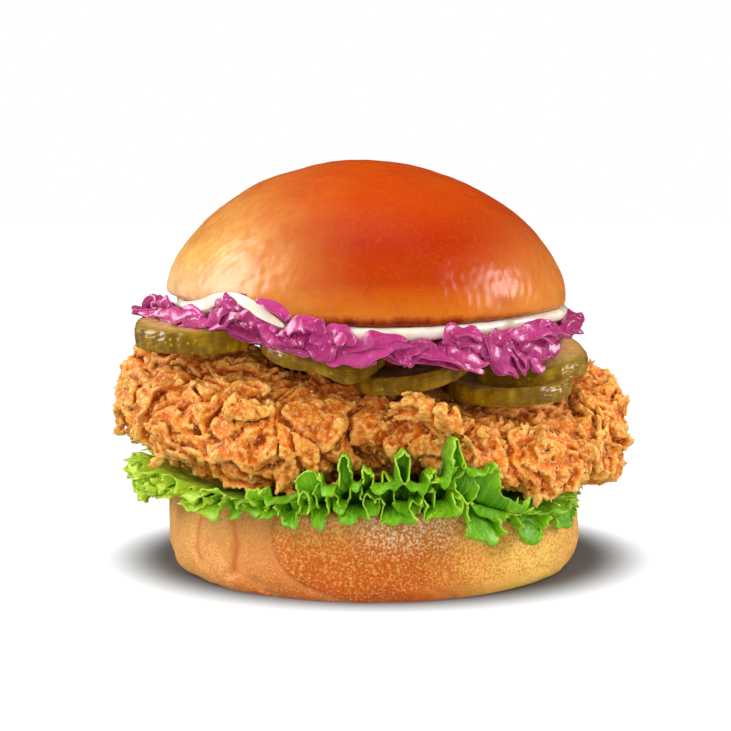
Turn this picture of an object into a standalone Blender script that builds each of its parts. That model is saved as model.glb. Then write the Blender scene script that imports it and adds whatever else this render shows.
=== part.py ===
"""Fried chicken burger: heel, curly lettuce, craggy fillet, pickle slices, red slaw, mayonnaise, crown.

Frame: +Z up, the table is z = 0, and the origin is the centre of the heel's flat underside.
-Y is the front. Every layer is its own closed solid, CLEAR apart from the layers that it touches.

Most layers are pads: an outline that goes round in plan, a top and an underside that are heights
over the plan, and a rim rounded by a superellipse between them. The stack is built from the table
up, and each layer reads the one below, so that it lies on it.
"""

import math

import bmesh
import bpy
import numpy as np

MM = 0.001
CLEAR = 0.4  # gap between touching layers, mm

# Driving sizes, in millimetres.
BUN_RADIUS = 54.2
HEEL_HEIGHT = 22.4
HEEL_FOOT_RADIUS = 48.6
HEEL_CENTRE_X = 0.7
CROWN_CENTRE_X = -1.0
CROWN_RADIUS = 52.2
CROWN_BASE_Z = 67.2
CROWN_HEIGHT = 38.8
CROWN_FULLNESS = 1.06  # 1 is an ellipse, and more is nearer to a cone
CROWN_LEAN = 1.3  # how far the top of the dome has slid to the left
FILLET_THICKNESS = 27.4
FILLET_RIM = 3.4
PICKLE_RADIUS = 16.2
PICKLE_THICKNESS = 4.6
MAYO_THICKNESS = 3.2
SLAW_REACH = 54.5
LEAF_THICKNESS = 1.5

# How finely each solid is cut into facets.
BUN_SIDES = 48
FILLET_SIDES = 64
LEAF_SIDES = 108
PICKLE_SIDES = 20
SPREAD_SIDES = 48

COLOURS = {  # red, green, blue, then roughness
    "heel": (0.70, 0.33, 0.09, 0.6),
    "lettuce": (0.18, 0.42, 0.03, 0.45),
    "fillet": (0.66, 0.25, 0.05, 0.6),
    "pickle": (0.26, 0.20, 0.03, 0.3),
    "slaw": (0.52, 0.06, 0.27, 0.25),
    "mayonnaise": (0.88, 0.80, 0.66, 0.3),
    "crown": (0.66, 0.19, 0.02, 0.35),
}


# ---------------------------------------------------------------- helpers


def material(name):
    """A plain Principled material in the layer's colour."""
    found = bpy.data.materials.get(name)
    if found:
        return found
    red, green, blue, roughness = COLOURS[name]
    made = bpy.data.materials.new(name)
    made.use_nodes = True
    shader = made.node_tree.nodes["Principled BSDF"]
    shader.inputs["Base Color"].default_value = (red, green, blue, 1.0)
    shader.inputs["Roughness"].default_value = roughness
    shader.inputs["Metallic"].default_value = 0.0
    return made


def bell(distance, width):
    """A smooth bump: 1 at no distance, falling away over width."""
    return math.exp(-((distance / width) ** 2))


def bump(x, y, at_x, at_y, width):
    """A round bump in plan, 1 at its centre."""
    return bell(math.hypot(x - at_x, y - at_y), width)


def around(values, angle):
    """Smooth closed curve through evenly spaced values, read at an angle in radians."""
    count = len(values)
    place = angle / math.tau % 1 * count
    i, t = int(place) % count, place % 1
    a, b, c, d = (values[(i + k) % count] for k in (-1, 0, 1, 2))
    return b + 0.5 * t * (c - a + t * (2 * a - 5 * b + 4 * c - d + t * (3 * (b - c) + d - a)))


def skin(name, rings, colour, centre=(0.0, 0.0, 0.0)):
    """One closed solid through a stack of rings, whose first and last shrink to a point.

    rings are lists of (x, y, z) in millimetres, each anticlockwise seen from above, from the
    underside's middle out round the rim and back to the top's middle. centre is where the
    object's origin goes.
    """
    mesh = bmesh.new()
    cx, cy, cz = centre

    def vertex(point):
        x, y, z = point
        return mesh.verts.new(((x - cx) * MM, (y - cy) * MM, (z - cz) * MM))

    low, high = vertex(rings[0][0]), vertex(rings[-1][0])
    loops = [[vertex(point) for point in ring] for ring in rings[1:-1]]
    sides = len(loops[0])
    for i in range(sides):
        j = (i + 1) % sides
        mesh.faces.new((low, loops[0][j], loops[0][i]))
        mesh.faces.new((high, loops[-1][i], loops[-1][j]))
        for inner, outer in zip(loops, loops[1:]):
            mesh.faces.new((inner[i], inner[j], outer[j], outer[i]))
    bmesh.ops.recalc_face_normals(mesh, faces=mesh.faces)
    data = bpy.data.meshes.new(name)
    mesh.to_mesh(data)
    mesh.free()
    data.shade_smooth()
    data.materials.append(material(colour))
    made = bpy.data.objects.new(name, data)
    made.location = (cx * MM, cy * MM, cz * MM)
    bpy.context.scene.collection.objects.link(made)
    return made


def sagged(sag, share):
    """How far a pad whose rim hangs by sag is moved down, at a share of the way out."""
    return -sag * share**6


def pad_rings(reach, top, underside, shares, rim, sides, centre=(0.0, 0.0), sag=None):
    """The rings of a pad.

    reach(angle) is its outline's distance from centre. shares are how far out each ring lies, from
    0 to 1. rim is the superellipse's power: 2 is round, and a high one is square. sag(angle) is
    how far the rim hangs down.
    """
    cx, cy = centre
    rings = []
    for sign, order in ((-1, shares), (1, shares[::-1][1:])):
        for share in order:
            squash = max(0.0, 1 - share**rim) ** (1 / rim)
            ring = []
            for i in range(sides):
                angle = math.tau * i / sides
                out = share * reach(angle)
                x, y = cx + out * math.cos(angle), cy + out * math.sin(angle)
                high, low = top(x, y), underside(x, y)
                z = (high + low) / 2 + sign * squash * (high - low) / 2
                if sag:
                    z += sagged(sag(angle), share)
                ring.append((x, y, z))
            rings.append(ring)
    return rings


# ---------------------------------------------------------------- heel (bottom bun)

CREASE_ANGLES = (-146, -131, -118)  # pinched folds low on the left of the front, in degrees
CREASE_DEPTH = 1.5


def heel_crease(angle, height):
    """How far the wall is drawn in by the folds on the heel's left side."""
    depth = 0.0
    for k, at in enumerate(CREASE_ANGLES):
        drift = 14 * (height / HEEL_HEIGHT - 0.5) * (1 if k % 2 else -1)
        apart = math.degrees(math.remainder(angle - math.radians(at + drift), math.tau))
        depth += CREASE_DEPTH * bell(apart, 4.5)
    undercut = bell(math.degrees(math.remainder(angle - math.radians(-118), math.tau)), 16)
    return depth * bell(height - 8, 9) + 2.2 * undercut * bell(height, 7)


def heel_profile():
    """(radius, height) of the turned wall, from the foot up over the belly to the cut face."""
    belly, shoulder = 7.5, HEEL_HEIGHT - 3.0
    points = [(HEEL_FOOT_RADIUS * share, 0.0) for share in (0.0, 0.7, 1.0)]
    for turn in (30, 60, 90):  # the corner from the flat foot up to the belly
        t = math.radians(turn)
        points.append(
            (
                HEEL_FOOT_RADIUS + (BUN_RADIUS - HEEL_FOOT_RADIUS) * math.sin(t),
                belly * (1 - math.cos(t)),
            )
        )
    points.append((BUN_RADIUS - 0.2, 14.5))
    points.append((BUN_RADIUS - 1.0, shoulder))
    points.append((BUN_RADIUS - 3.0, HEEL_HEIGHT - 0.8))
    points += [(BUN_RADIUS * share, HEEL_HEIGHT) for share in (0.88, 0.5, 0.0)]
    return points


def make_heel():
    rings = []
    for radius, height in heel_profile():
        ring = []
        for i in range(BUN_SIDES):
            angle = math.tau * i / BUN_SIDES
            out = radius * (1 + 0.006 * math.sin(3 * angle + 0.8))
            if radius > HEEL_FOOT_RADIUS - 1:
                out -= heel_crease(angle, height)
            ring.append((HEEL_CENTRE_X + out * math.cos(angle), out * math.sin(angle), height))
        rings.append(ring)
    return skin("heel", rings, "heel")


# ---------------------------------------------------------------- fried chicken fillet

# The fillet's outline every 20 degrees, from +X round by the back to the front. It hangs over the
# heel all round, most at its two ends and in the two lobes either side of a notch at the front.
FILLET_REACH = (68, 64, 58, 54, 51, 51, 54, 58, 63, 66, 67.5, 67, 63, 56, 50.5, 60, 67, 69)
FILLET_SAG = (1, 1, 1, 1, 1, 1, 1, 1, 0, -2, -3, -1, 2, 2, 0, 2, 4, 4)


def craggy(x, y):
    """Knobbly crust, about -1 to 1, from three crossing waves of different lengths."""
    return (
        0.5 * math.sin(x / 2.7 + 1.3 * math.sin(y / 4.1))
        + 0.35 * math.sin(y / 2.3 + 1.1 * math.sin(x / 3.7) + 2.0)
        + 0.25 * math.sin((x + y) / 1.9 + 0.6)
    )


def fillet_reach(angle):
    x, y = 62 * math.cos(angle), 62 * math.sin(angle)
    return around(FILLET_REACH, angle) + 1.5 * craggy(x, y)


def fillet_sag(angle):
    return around(FILLET_SAG, angle)


def fillet_top(x, y):
    """High on the left, dished under the pickles at the front right, and up again at the end."""
    height = 52.2
    height += 8.6 * bump(x, y, -48, -14, 30)
    height -= 7.0 * bump(x, y, 32, -28, 30)
    height += 8.0 * bump(x, y, 60, 4, 16)
    return height + 0.4 * craggy(x, y)


def fillet_underside(x, y):
    """Arched over the lettuce at the front, and hanging down past the heel at its ends."""
    height = 52.2 - FILLET_THICKNESS
    height += 8.5 * bump(x, y, 5, -52, 14)
    height -= 9.0 * bump(x, y, 68, -16, 12)
    height -= 3.0 * bump(x, y, 40, -54, 14)
    height += 1.5 * bump(x, y, -58, -30, 16)
    return height + 0.5 * craggy(x + 7, y - 5)


def make_fillet():
    shares = (0.0, 0.3, 0.52, 0.7, 0.83, 0.92, 0.98, 1.0)
    rings = pad_rings(
        fillet_reach,
        fillet_top,
        fillet_underside,
        shares,
        FILLET_RIM,
        FILLET_SIDES,
        sag=fillet_sag,
    )
    return skin("fillet", rings, "fillet")


def fillet_underside_here(x, y):
    """The fillet's rounded underside over a point in plan, or None outside its outline."""
    angle = math.atan2(y, x)
    share = math.hypot(x, y) / fillet_reach(angle)
    if share >= 1:
        return None
    high, low = fillet_top(x, y), fillet_underside(x, y)
    rounded = (1 - share**FILLET_RIM) ** (1 / FILLET_RIM) * (high - low) / 2
    return (high + low) / 2 - rounded + sagged(fillet_sag(angle), share)


# ---------------------------------------------------------------- lettuce

# The leaf's frilled edge every 20 degrees, from +X round by the back to the front: how far out it
# ends, how high its middle is set, and how far its waves go up and down.
LEAF_REACH = (55, 56, 56, 57, 58, 57, 58, 60, 61, 61, 64, 65, 62, 60, 61, 62, 59, 56)
LEAF_EDGE_Z = (20, 22, 24, 23, 21, 23, 24, 22, 23, 26, 28, 26, 22, 25, 29, 28, 18, 17)
LEAF_WAVE = (4, 4, 4, 5, 4, 4, 5, 4, 4, 4, 3, 4, 4, 5, 8, 9, 6, 4)
FRILLS = 16


def frill_wave(angle):
    """Uneven waves along the leaf's edge, about -1 to 1."""
    turn = FRILLS * angle + 1.2 * math.sin(3 * angle + 0.4) + 1.7
    return 0.75 * math.sin(turn) + 0.35 * math.sin(7 * angle + 1.0)


def leaf_room(x, y, from_centre):
    """(lowest, highest) height that the leaf may have over a point in plan."""
    low = HEEL_HEIGHT + CLEAR if from_centre < BUN_RADIUS + 1.6 else 2.0
    over = fillet_underside_here(x, y)
    if over is None:
        return low, 60.0
    return low, over - (1.5 if from_centre < BUN_RADIUS - 2 else 3) * CLEAR


def make_lettuce():
    """A leaf that fills the space between heel and fillet, and ends in a frilled edge."""
    inner = (0.0, 0.45, 0.72, 0.88)  # shares of the heel's radius
    frill = (0.25, 0.62, 1.0)  # shares of the way from the heel's rim to the leaf's edge
    upper, lower = [], []
    for share in inner:
        up, down = [], []
        for i in range(LEAF_SIDES):
            angle = math.tau * i / LEAF_SIDES
            out = share * (BUN_RADIUS - 3)
            x, y = out * math.cos(angle), out * math.sin(angle)
            low, high = leaf_room(x, y, out)
            up.append((x, y, high - 1.0 * share))
            down.append((x, y, low))
        upper.append(up)
        lower.append(down)
    for share in frill:
        up, down = [], []
        for i in range(LEAF_SIDES):
            angle = math.tau * i / LEAF_SIDES
            start, end = BUN_RADIUS - 3, around(LEAF_REACH, angle)
            wave = frill_wave(angle)
            out = start + share * (end - start) + 1.5 * share * math.cos(FRILLS * angle)
            x, y = out * math.cos(angle), out * math.sin(angle)
            low, high = leaf_room(x, y, out)
            rise = HEEL_HEIGHT + 2.4
            z = rise + share * (around(LEAF_EDGE_Z, angle) - rise)
            z += share * around(LEAF_WAVE, angle) * wave
            half = LEAF_THICKNESS / 2 * (1.2 - 0.4 * share)
            z = min(max(z, low + half), high - half)
            up.append((x, y, z + half))
            down.append((x, y, z - half))
        upper.append(up)
        lower.append(down)
    return skin("lettuce", lower + upper[::-1], "lettuce")


# ---------------------------------------------------------------- pickle slices

# Each slice: centre x and y, and its radius as a share of PICKLE_RADIUS, in the order in which
# they are laid down. Wet slices are limp, so each one bends over whatever is below it.
PICKLES = (
    (34.5, -28.5, 0.95),
    (11.0, -34.5, 0.92),
    (39.8, -19.5, 0.92),
    (-12.5, -37.0, 0.91),
    (-43.8, -29.0, 0.93),
    (41.0, 12.5, 0.97),
    (6.0, 33.0, 1.05),
    (-29.0, 23.0, 1.00),
)
PICKLE_RIM = 7.0
MAP_REACH = 84  # the height map covers this far each way, in steps of 1 mm


STEPS = np.arange(-MAP_REACH, MAP_REACH + 1)
MAP_X, MAP_Y = np.meshgrid(STEPS, STEPS, indexing="ij")


def mapped(height):
    """A function of (x, y) as heights over the plan on a 1 mm grid."""
    return np.vectorize(height)(MAP_X.astype(float), MAP_Y.astype(float))


def widened(heights, reach):
    """The highest value within reach of each point."""
    high = heights.copy()
    for dx in range(-reach, reach + 1):
        for dy in range(-reach, reach + 1):
            if dx * dx + dy * dy <= reach * reach:
                high = np.maximum(high, np.roll(heights, (dx, dy), (0, 1)))
    return high


def draped(heights, stiff=5, close=3):
    """A smooth sheet that lies on a height map, bridging what is narrower than its stiffness."""
    sheet = widened(heights, stiff)
    for axis in (0, 1):
        sheet = sum(np.roll(sheet, k, axis) for k in range(-stiff, stiff + 1)) / (2 * stiff + 1)
    return np.maximum(sheet, widened(heights, close))


def reader(heights):
    """A function of (x, y) that reads a height map between its points."""

    def read(x, y):
        u, v = x + MAP_REACH, y + MAP_REACH
        i, j = int(u), int(v)
        s, t = u - i, v - j
        near = heights[i, j] * (1 - s) + heights[i + 1, j] * s
        far = heights[i, j + 1] * (1 - s) + heights[i + 1, j + 1] * s
        return float(near * (1 - t) + far * t)

    return read


def make_pickles(bare):
    """Lays the slices one by one on the bare fillet, and returns the height map on top of them."""
    stack = bare.copy()
    for number, (cx, cy, size) in enumerate(PICKLES, 1):
        radius = size * PICKLE_RADIUS
        covered = np.hypot(MAP_X - cx, MAP_Y - cy) < 1.04 * radius
        lower = draped(np.where(covered, stack, bare)) + CLEAR
        underside = reader(lower)
        rings = pad_rings(
            lambda angle, radius=radius, n=number: radius * (1 + 0.02 * math.sin(2 * angle + n)),
            lambda x, y: underside(x, y) + PICKLE_THICKNESS,
            underside,
            (0.0, 0.4, 0.72, 0.93, 1.0),
            PICKLE_RIM,
            PICKLE_SIDES,
            (cx, cy),
        )
        skin(f"pickle_{number}", rings, "pickle", (cx, cy, underside(cx, cy)))
        stack = np.where(covered, np.maximum(stack, lower + PICKLE_THICKNESS), stack)
    return stack


# ---------------------------------------------------------------- slaw, mayonnaise and crown


def crown_base(x, y):
    """The crown's underside: pushed up at the left by the slaw, and a little at the right."""
    rise = 5.0 * bell(x + 62, 34) + 1.2 * bell(x - 48, 22)
    return CROWN_BASE_Z + rise + 0.02 * y * bell(x, 60)


def mayo_thickness(x, y):
    return MAYO_THICKNESS - 1.2 * bell(x + 45, 30) + 0.3 * math.sin(x / 9 + y / 13)


def slaw_reach(angle):
    lumps = 1.6 * math.sin(7 * angle + 1) + 1.1 * math.sin(13 * angle + 0.4)
    return SLAW_REACH + lumps + 6.0 * bell(math.remainder(angle + 2.75, math.tau), 0.35)


def mayo_reach(angle):
    return CROWN_RADIUS - 0.8 + 0.9 * math.sin(5 * angle + 2) + 0.5 * math.sin(11 * angle)


def make_slaw(stack):
    """The heap of shredded cabbage, as one solid out to its uneven outline."""
    shares = (0.0, 0.18, 0.32, 0.44, 0.56, 0.68, 0.79, 0.89, 0.96, 1.0)
    below = reader(widened(stack, 6) + CLEAR)

    def top(x, y):
        return crown_base(x, y) - mayo_thickness(x, y) - 2 * CLEAR

    rings = pad_rings(slaw_reach, top, below, shares, 3.0, SPREAD_SIDES)
    return skin("slaw", rings, "slaw")


def make_mayonnaise():
    shares = (0.0, 0.45, 0.8, 0.95, 1.0)
    rings = pad_rings(
        mayo_reach,
        lambda x, y: crown_base(x, y) - CLEAR,
        lambda x, y: crown_base(x, y) - mayo_thickness(x, y) - CLEAR,
        shares,
        2.6,
        SPREAD_SIDES,
    )
    return skin("mayonnaise", rings, "mayonnaise")


def crown_profile():
    """(share of the radius, share of the height above the widest line) of the domed top."""
    points = [(0.0, None), (0.6, None), (0.945, None)]  # None: on the cut underside
    points.append((0.985, 0.012))
    for turn in range(4, 90, 10):
        t = math.radians(turn)
        out = math.cos(t) ** CROWN_FULLNESS
        points.append((out, 0.045 + 0.955 * math.sin(t) ** CROWN_FULLNESS))
    points.append((0.0, 1.0))
    return points


def make_crown():
    rings = []
    for share, rise in crown_profile():
        ring = []
        for i in range(BUN_SIDES):
            angle = math.tau * i / BUN_SIDES
            out = share * CROWN_RADIUS * (1 + 0.004 * math.sin(2 * angle + 1))
            x = CROWN_CENTRE_X + out * math.cos(angle)
            y = out * math.sin(angle)
            if rise is None:
                z = crown_base(x, y)
            else:
                lift = crown_base(x, y) - CROWN_BASE_Z
                z = CROWN_BASE_Z + CROWN_HEIGHT * rise + lift * (1 - rise) ** 4
                x -= CROWN_LEAN * rise**2
            ring.append((x, y, z))
        rings.append(ring)
    return skin("crown", rings, "crown")


# ---------------------------------------------------------------- the whole burger


def build():
    for old in list(bpy.data.objects):
        bpy.data.objects.remove(old)
    make_heel()
    make_lettuce()
    make_fillet()
    make_slaw(make_pickles(mapped(fillet_top)))
    make_mayonnaise()
    make_crown()


build()
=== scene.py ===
# %% [markdown]
# # A fried chicken burger, made of surfaces worked out with numpy
#
# The burger is a stack: heel, curly lettuce, craggy fried fillet, pickle slices, red cabbage slaw,
# mayonnaise and a glazed crown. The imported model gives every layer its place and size. This script
# gives each one the surface that the real food has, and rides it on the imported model's only body.

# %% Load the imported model
import math

import bpy
import numpy as np
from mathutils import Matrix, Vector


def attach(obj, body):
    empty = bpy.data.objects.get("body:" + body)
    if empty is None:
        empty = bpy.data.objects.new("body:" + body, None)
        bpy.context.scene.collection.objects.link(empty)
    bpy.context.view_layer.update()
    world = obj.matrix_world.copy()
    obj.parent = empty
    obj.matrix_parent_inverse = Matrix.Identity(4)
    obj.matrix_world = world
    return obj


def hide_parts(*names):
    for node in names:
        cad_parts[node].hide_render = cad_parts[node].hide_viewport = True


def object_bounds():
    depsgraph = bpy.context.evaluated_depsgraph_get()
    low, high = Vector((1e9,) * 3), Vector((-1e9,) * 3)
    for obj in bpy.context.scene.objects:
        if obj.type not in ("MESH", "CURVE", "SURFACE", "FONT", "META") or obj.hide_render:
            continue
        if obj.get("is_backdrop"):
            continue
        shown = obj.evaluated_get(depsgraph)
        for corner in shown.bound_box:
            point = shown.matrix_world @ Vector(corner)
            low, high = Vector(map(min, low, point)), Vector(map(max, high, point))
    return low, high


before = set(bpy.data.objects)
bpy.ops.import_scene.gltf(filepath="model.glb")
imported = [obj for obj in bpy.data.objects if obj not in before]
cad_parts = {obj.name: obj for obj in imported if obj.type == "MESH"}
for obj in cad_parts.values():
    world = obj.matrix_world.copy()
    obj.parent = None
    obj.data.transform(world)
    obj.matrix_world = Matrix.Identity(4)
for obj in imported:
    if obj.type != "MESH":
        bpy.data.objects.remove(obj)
cad_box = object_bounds()
MM = 0.001
print("nodes:", ", ".join(sorted(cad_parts)))


# %% [markdown]
# ## From arrays to a mesh
#
# Every piece below is an array of points in millimetres and an array of faces. Filling the mesh
# with `foreach_set` takes the arrays as they are, so no point passes through a Python loop. Values
# that a material needs, such as how deep a point lies in a crevice, travel as mesh attributes.

# %% Mesh helpers


def piece(name, points, faces, node, material, values=None):
    """A smooth-shaded object from points (n, 3) in mm and triangles or quads (m, 3 or 4)."""
    faces = np.asarray(faces)
    corners = faces.shape[1]
    mesh = bpy.data.meshes.new(name)
    mesh.vertices.add(len(points))
    mesh.vertices.foreach_set("co", (np.asarray(points) * MM).astype(np.float32).ravel())
    mesh.loops.add(faces.size)
    mesh.loops.foreach_set("vertex_index", faces.astype(np.int32).ravel())
    mesh.polygons.add(len(faces))
    mesh.polygons.foreach_set("loop_start", np.arange(len(faces), dtype=np.int32) * corners)
    mesh.polygons.foreach_set("use_smooth", np.ones(len(faces), bool))
    for key, value in (values or {}).items():
        layer = mesh.attributes.new(key, "FLOAT", "POINT")
        layer.data.foreach_set("value", np.asarray(value, np.float32).ravel())
    mesh.update(calc_edges=True)
    mesh.validate()
    mesh.materials.append(material)
    made = bpy.data.objects.new(name, mesh)
    bpy.context.scene.collection.objects.link(made)
    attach(made, "root")
    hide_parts(node)
    print(f"{name}: {len(points)} points, {len(faces) * (corners - 2)} triangles")
    return made


def band_faces(rows, columns, closed_rows=False):
    """Quads of a grid of rows by columns whose columns close round on themselves."""
    r = np.arange(rows if closed_rows else rows - 1)[:, None]
    c = np.arange(columns)[None, :]
    ahead, up = (c + 1) % columns, (r + 1) % rows
    quads = np.stack([r * columns + c, r * columns + ahead, up * columns + ahead,
                      up * columns + c], axis=-1)
    return quads.reshape(-1, 4)


def around(values, angle):
    """Smooth closed curve through evenly spaced values: a cubic between each pair of them."""
    values = np.asarray(values, float)
    count = len(values)
    place = np.mod(angle / math.tau, 1) * count
    i = np.floor(place).astype(int) % count
    t = place - np.floor(place)
    a, b, c, d = (values[(i + k) % count] for k in (-1, 0, 1, 2))
    return b + 0.5 * t * (c - a + t * (2 * a - 5 * b + 4 * c - d + t * (3 * (b - c) + d - a)))


def bell(distance, width):
    """1 at no distance, falling smoothly to 0 over about twice the width."""
    return np.exp(-((distance / width) ** 2))


def angle_apart(a, b):
    """The signed angle from b to a, between half a turn back and half a turn forward."""
    return np.mod(a - b + math.pi, math.tau) - math.pi


def smoothstep(low, high, x):
    """0 below low, 1 above high, and an S-shaped cubic between."""
    t = np.clip((x - low) / (high - low), 0, 1)
    return t * t * (3 - 2 * t)


# %% [markdown]
# ## Uneven values without a pattern
#
# Food repeats nothing exactly. `waves` sums sines whose frequencies and phases are drawn once from
# a seeded generator, so the result is uneven, smooth, and the same on every run.

# %% Seeded waves


def waves(points, size, seed, count=14):
    """Sum of sines along random directions with wavelengths near size: about -1 to 1."""
    rng = np.random.default_rng(seed)
    points = np.asarray(points, float)
    dims = points.shape[-1]
    heading = rng.normal(size=(count, dims))
    heading /= np.linalg.norm(heading, axis=1, keepdims=True)
    heading *= (math.tau / size * rng.uniform(0.7, 1.4, count))[:, None]
    phase = rng.uniform(0, math.tau, count)
    total = np.zeros(points.shape[:-1])
    for direction, start in zip(heading, phase):
        total += np.sin(points @ direction + start)
    return total / math.sqrt(count / 2) / 1.6


# %% [markdown]
# ## Colour nodes
#
# All the materials below are built from the same few steps: a noise, a ramp over a value, and a mix.
# Short helpers keep each material readable. Colours are given as the eye sees them, from 0 to 255,
# and turned into the linear values that the shader wants.

# %% Node helpers


def linear(red, green, blue):
    """Screen colour, 0 to 255, as the linear colour of a shader socket."""
    shown = np.array([red, green, blue]) / 255
    light = np.where(shown <= 0.04045, shown / 12.92, ((shown + 0.055) / 1.055) ** 2.4)
    return (*light.tolist(), 1.0)


class Nodes:
    """A node tree with one-line calls for the nodes that the materials use."""

    def __init__(self, name):
        self.material = bpy.data.materials.new(name)
        self.material.use_nodes = True
        self.tree = self.material.node_tree
        self.shader = self.tree.nodes["Principled BSDF"]
        self.place = self.add("ShaderNodeTexCoord").outputs["Object"]

    def add(self, kind, **settings):
        node = self.tree.nodes.new(kind)
        for key, value in settings.items():
            setattr(node, key, value)
        return node

    def feed(self, socket, value):
        """Links a socket to another, or sets it to a value."""
        if isinstance(value, bpy.types.NodeSocket):
            self.tree.links.new(value, socket)
        else:
            socket.default_value = value

    def attribute(self, name):
        return self.add("ShaderNodeAttribute", attribute_name=name).outputs["Fac"]

    def spread(self, stretch=(1, 1, 1), shift=(0, 0, 0)):
        """Object coordinates, stretched and shifted."""
        node = self.add("ShaderNodeMapping")
        self.feed(node.inputs["Vector"], self.place)
        node.inputs["Scale"].default_value = stretch
        node.inputs["Location"].default_value = shift
        return node.outputs["Vector"]

    def per_metre(self, size_mm):
        socket = isinstance(size_mm, bpy.types.NodeSocket)
        return self.math("DIVIDE", 1000.0, size_mm) if socket else 1000 / size_mm

    def noise(self, size_mm, detail=2.0, rough=0.5, warp=0.0, where=None):
        """Noise whose blotches are about size_mm across."""
        node = self.add("ShaderNodeTexNoise")
        self.feed(node.inputs["Vector"], where or self.place)
        self.feed(node.inputs["Scale"], self.per_metre(size_mm))
        node.inputs["Detail"].default_value = detail
        node.inputs["Roughness"].default_value = rough
        node.inputs["Distortion"].default_value = warp
        return node.outputs["Fac"]

    def cells(self, size_mm, where=None, feature="F1"):
        """Distance to the nearest of many scattered points about size_mm apart."""
        node = self.add("ShaderNodeTexVoronoi", feature=feature)
        self.feed(node.inputs["Vector"], where or self.place)
        self.feed(node.inputs["Scale"], self.per_metre(size_mm))
        return node.outputs["Distance"]

    def height(self, low_mm, high_mm, axis="Z"):
        """0 below low_mm, 1 above high_mm, along an axis of the object."""
        split = self.add("ShaderNodeSeparateXYZ")
        self.feed(split.inputs[0], self.place)
        return self.between(split.outputs[axis], low_mm * MM, high_mm * MM)

    def between(self, value, low, high, to_low=0.0, to_high=1.0):
        """A value's range low to high, smoothed and clamped to to_low to to_high."""
        node = self.add("ShaderNodeMapRange", interpolation_type="SMOOTHSTEP")
        self.feed(node.inputs["Value"], value)
        for key, number in zip(("From Min", "From Max", "To Min", "To Max"),
                               (low, high, to_low, to_high)):
            self.feed(node.inputs[key], number)
        return node.outputs["Result"]

    def math(self, operation, a, b=0.0):
        node = self.add("ShaderNodeMath", operation=operation)
        self.feed(node.inputs[0], a)
        self.feed(node.inputs[1], b)
        return node.outputs[0]

    def ramp(self, value, *stops):
        """Colours over a value: stops are (position, colour)."""
        node = self.add("ShaderNodeValToRGB")
        self.feed(node.inputs[0], value)
        marks = node.color_ramp.elements
        for _ in stops[2:]:
            marks.new(0.5)
        for mark, (position, colour) in zip(marks, sorted(stops, key=lambda s: s[0])):
            mark.position, mark.color = position, colour
        return node.outputs["Color"]

    def mix(self, share, a, b, blend="MIX"):
        """Colour a, going over to colour b by a share."""
        node = self.add("ShaderNodeMix", data_type="RGBA", blend_type=blend)
        self.feed(node.inputs["Factor"], share)
        self.feed(node.inputs[6], a)
        self.feed(node.inputs[7], b)
        return node.outputs[2]

    def bump(self, height, distance_mm, before=None, strength=1.0):
        node = self.add("ShaderNodeBump")
        self.feed(node.inputs["Height"], height)
        self.feed(node.inputs["Distance"], self.math("MULTIPLY", distance_mm, MM))
        node.inputs["Strength"].default_value = strength
        if before is not None:
            self.feed(node.inputs["Normal"], before)
        return node.outputs["Normal"]

    def effect(self, effect, where=None, **inputs):
        """The one output of a shared effect, at some place and with some of its inputs set."""
        node = self.add("ShaderNodeGroup", node_tree=effect)
        self.feed(node.inputs["Place"], where or self.place)
        for key, value in inputs.items():
            self.feed(node.inputs[key], value)
        return node.outputs[0]

    def finish(self, colour, roughness, normal=None, **constants):
        """Feeds the shader and returns the material. constants are plain numbers or colours."""
        self.feed(self.shader.inputs["Base Color"], colour)
        self.feed(self.shader.inputs["Roughness"], roughness)
        if normal is not None:
            self.feed(self.shader.inputs["Normal"], normal)
        for key, value in constants.items():
            self.shader.inputs[key.replace("_", " ")].default_value = value
        return self.material


# %% [markdown]
# ### Effects that several materials share
#
# Baked, fried and wet foods are all blotchy, flecked and slightly grainy. Each of these is a node
# group with its own inputs, so that every material sets its own sizes.

# %% Shared effects


class Effect(Nodes):
    """A node group in the making: named number inputs beside Place, and one output."""

    def __init__(self, name, **numbers):
        self.tree = bpy.data.node_groups.new(name, "ShaderNodeTree")
        face = self.tree.interface
        face.new_socket(name="Place", in_out="INPUT", socket_type="NodeSocketVector")
        for key, value in numbers.items():
            socket = face.new_socket(name=key, in_out="INPUT", socket_type="NodeSocketFloat")
            socket.default_value = value
        entry = self.add("NodeGroupInput")
        self.place = entry.outputs["Place"]
        self.inputs = {key: entry.outputs[key] for key in numbers}

    def give(self, name, kind, value):
        self.tree.interface.new_socket(name=name, in_out="OUTPUT", socket_type=kind)
        self.feed(self.add("NodeGroupOutput").inputs[name], value)
        return self.tree


def make_patches():
    """Soft blotches about Size mm across: 0 where the noise is below Low, 1 above High."""
    e = Effect("patches", Size=10.0, Low=0.4, High=0.65)
    noise = e.noise(e.inputs["Size"], 3, 0.6, 0.5)
    return e.give("Share", "NodeSocketFloat", e.between(noise, e.inputs["Low"], e.inputs["High"]))


def make_flecks():
    """Small round flecks of radius Size, in cells Spacing mm apart, in clusters of Cluster mm."""
    e = Effect("flecks", Spacing=2.0, Size=0.1, Cluster=7.0, Cover=0.5)
    dots = e.between(e.cells(e.inputs["Spacing"]), e.inputs["Size"],
                     e.math("MULTIPLY", e.inputs["Size"], 0.55))
    rare = e.math("SUBTRACT", 1.0, e.inputs["Cover"])
    near = e.between(e.noise(e.inputs["Cluster"]), rare, e.math("ADD", rare, 0.12))
    return e.give("Share", "NodeSocketFloat", e.math("MULTIPLY", dots, near))


def make_grain():
    """A normal that is roughened by grains of Size mm, Depth mm deep."""
    e = Effect("grain", Size=0.8, Depth=0.06)
    return e.give("Normal", "NodeSocketVector",
                  e.bump(e.noise(e.inputs["Size"], 3, 0.6), e.inputs["Depth"]))


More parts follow.
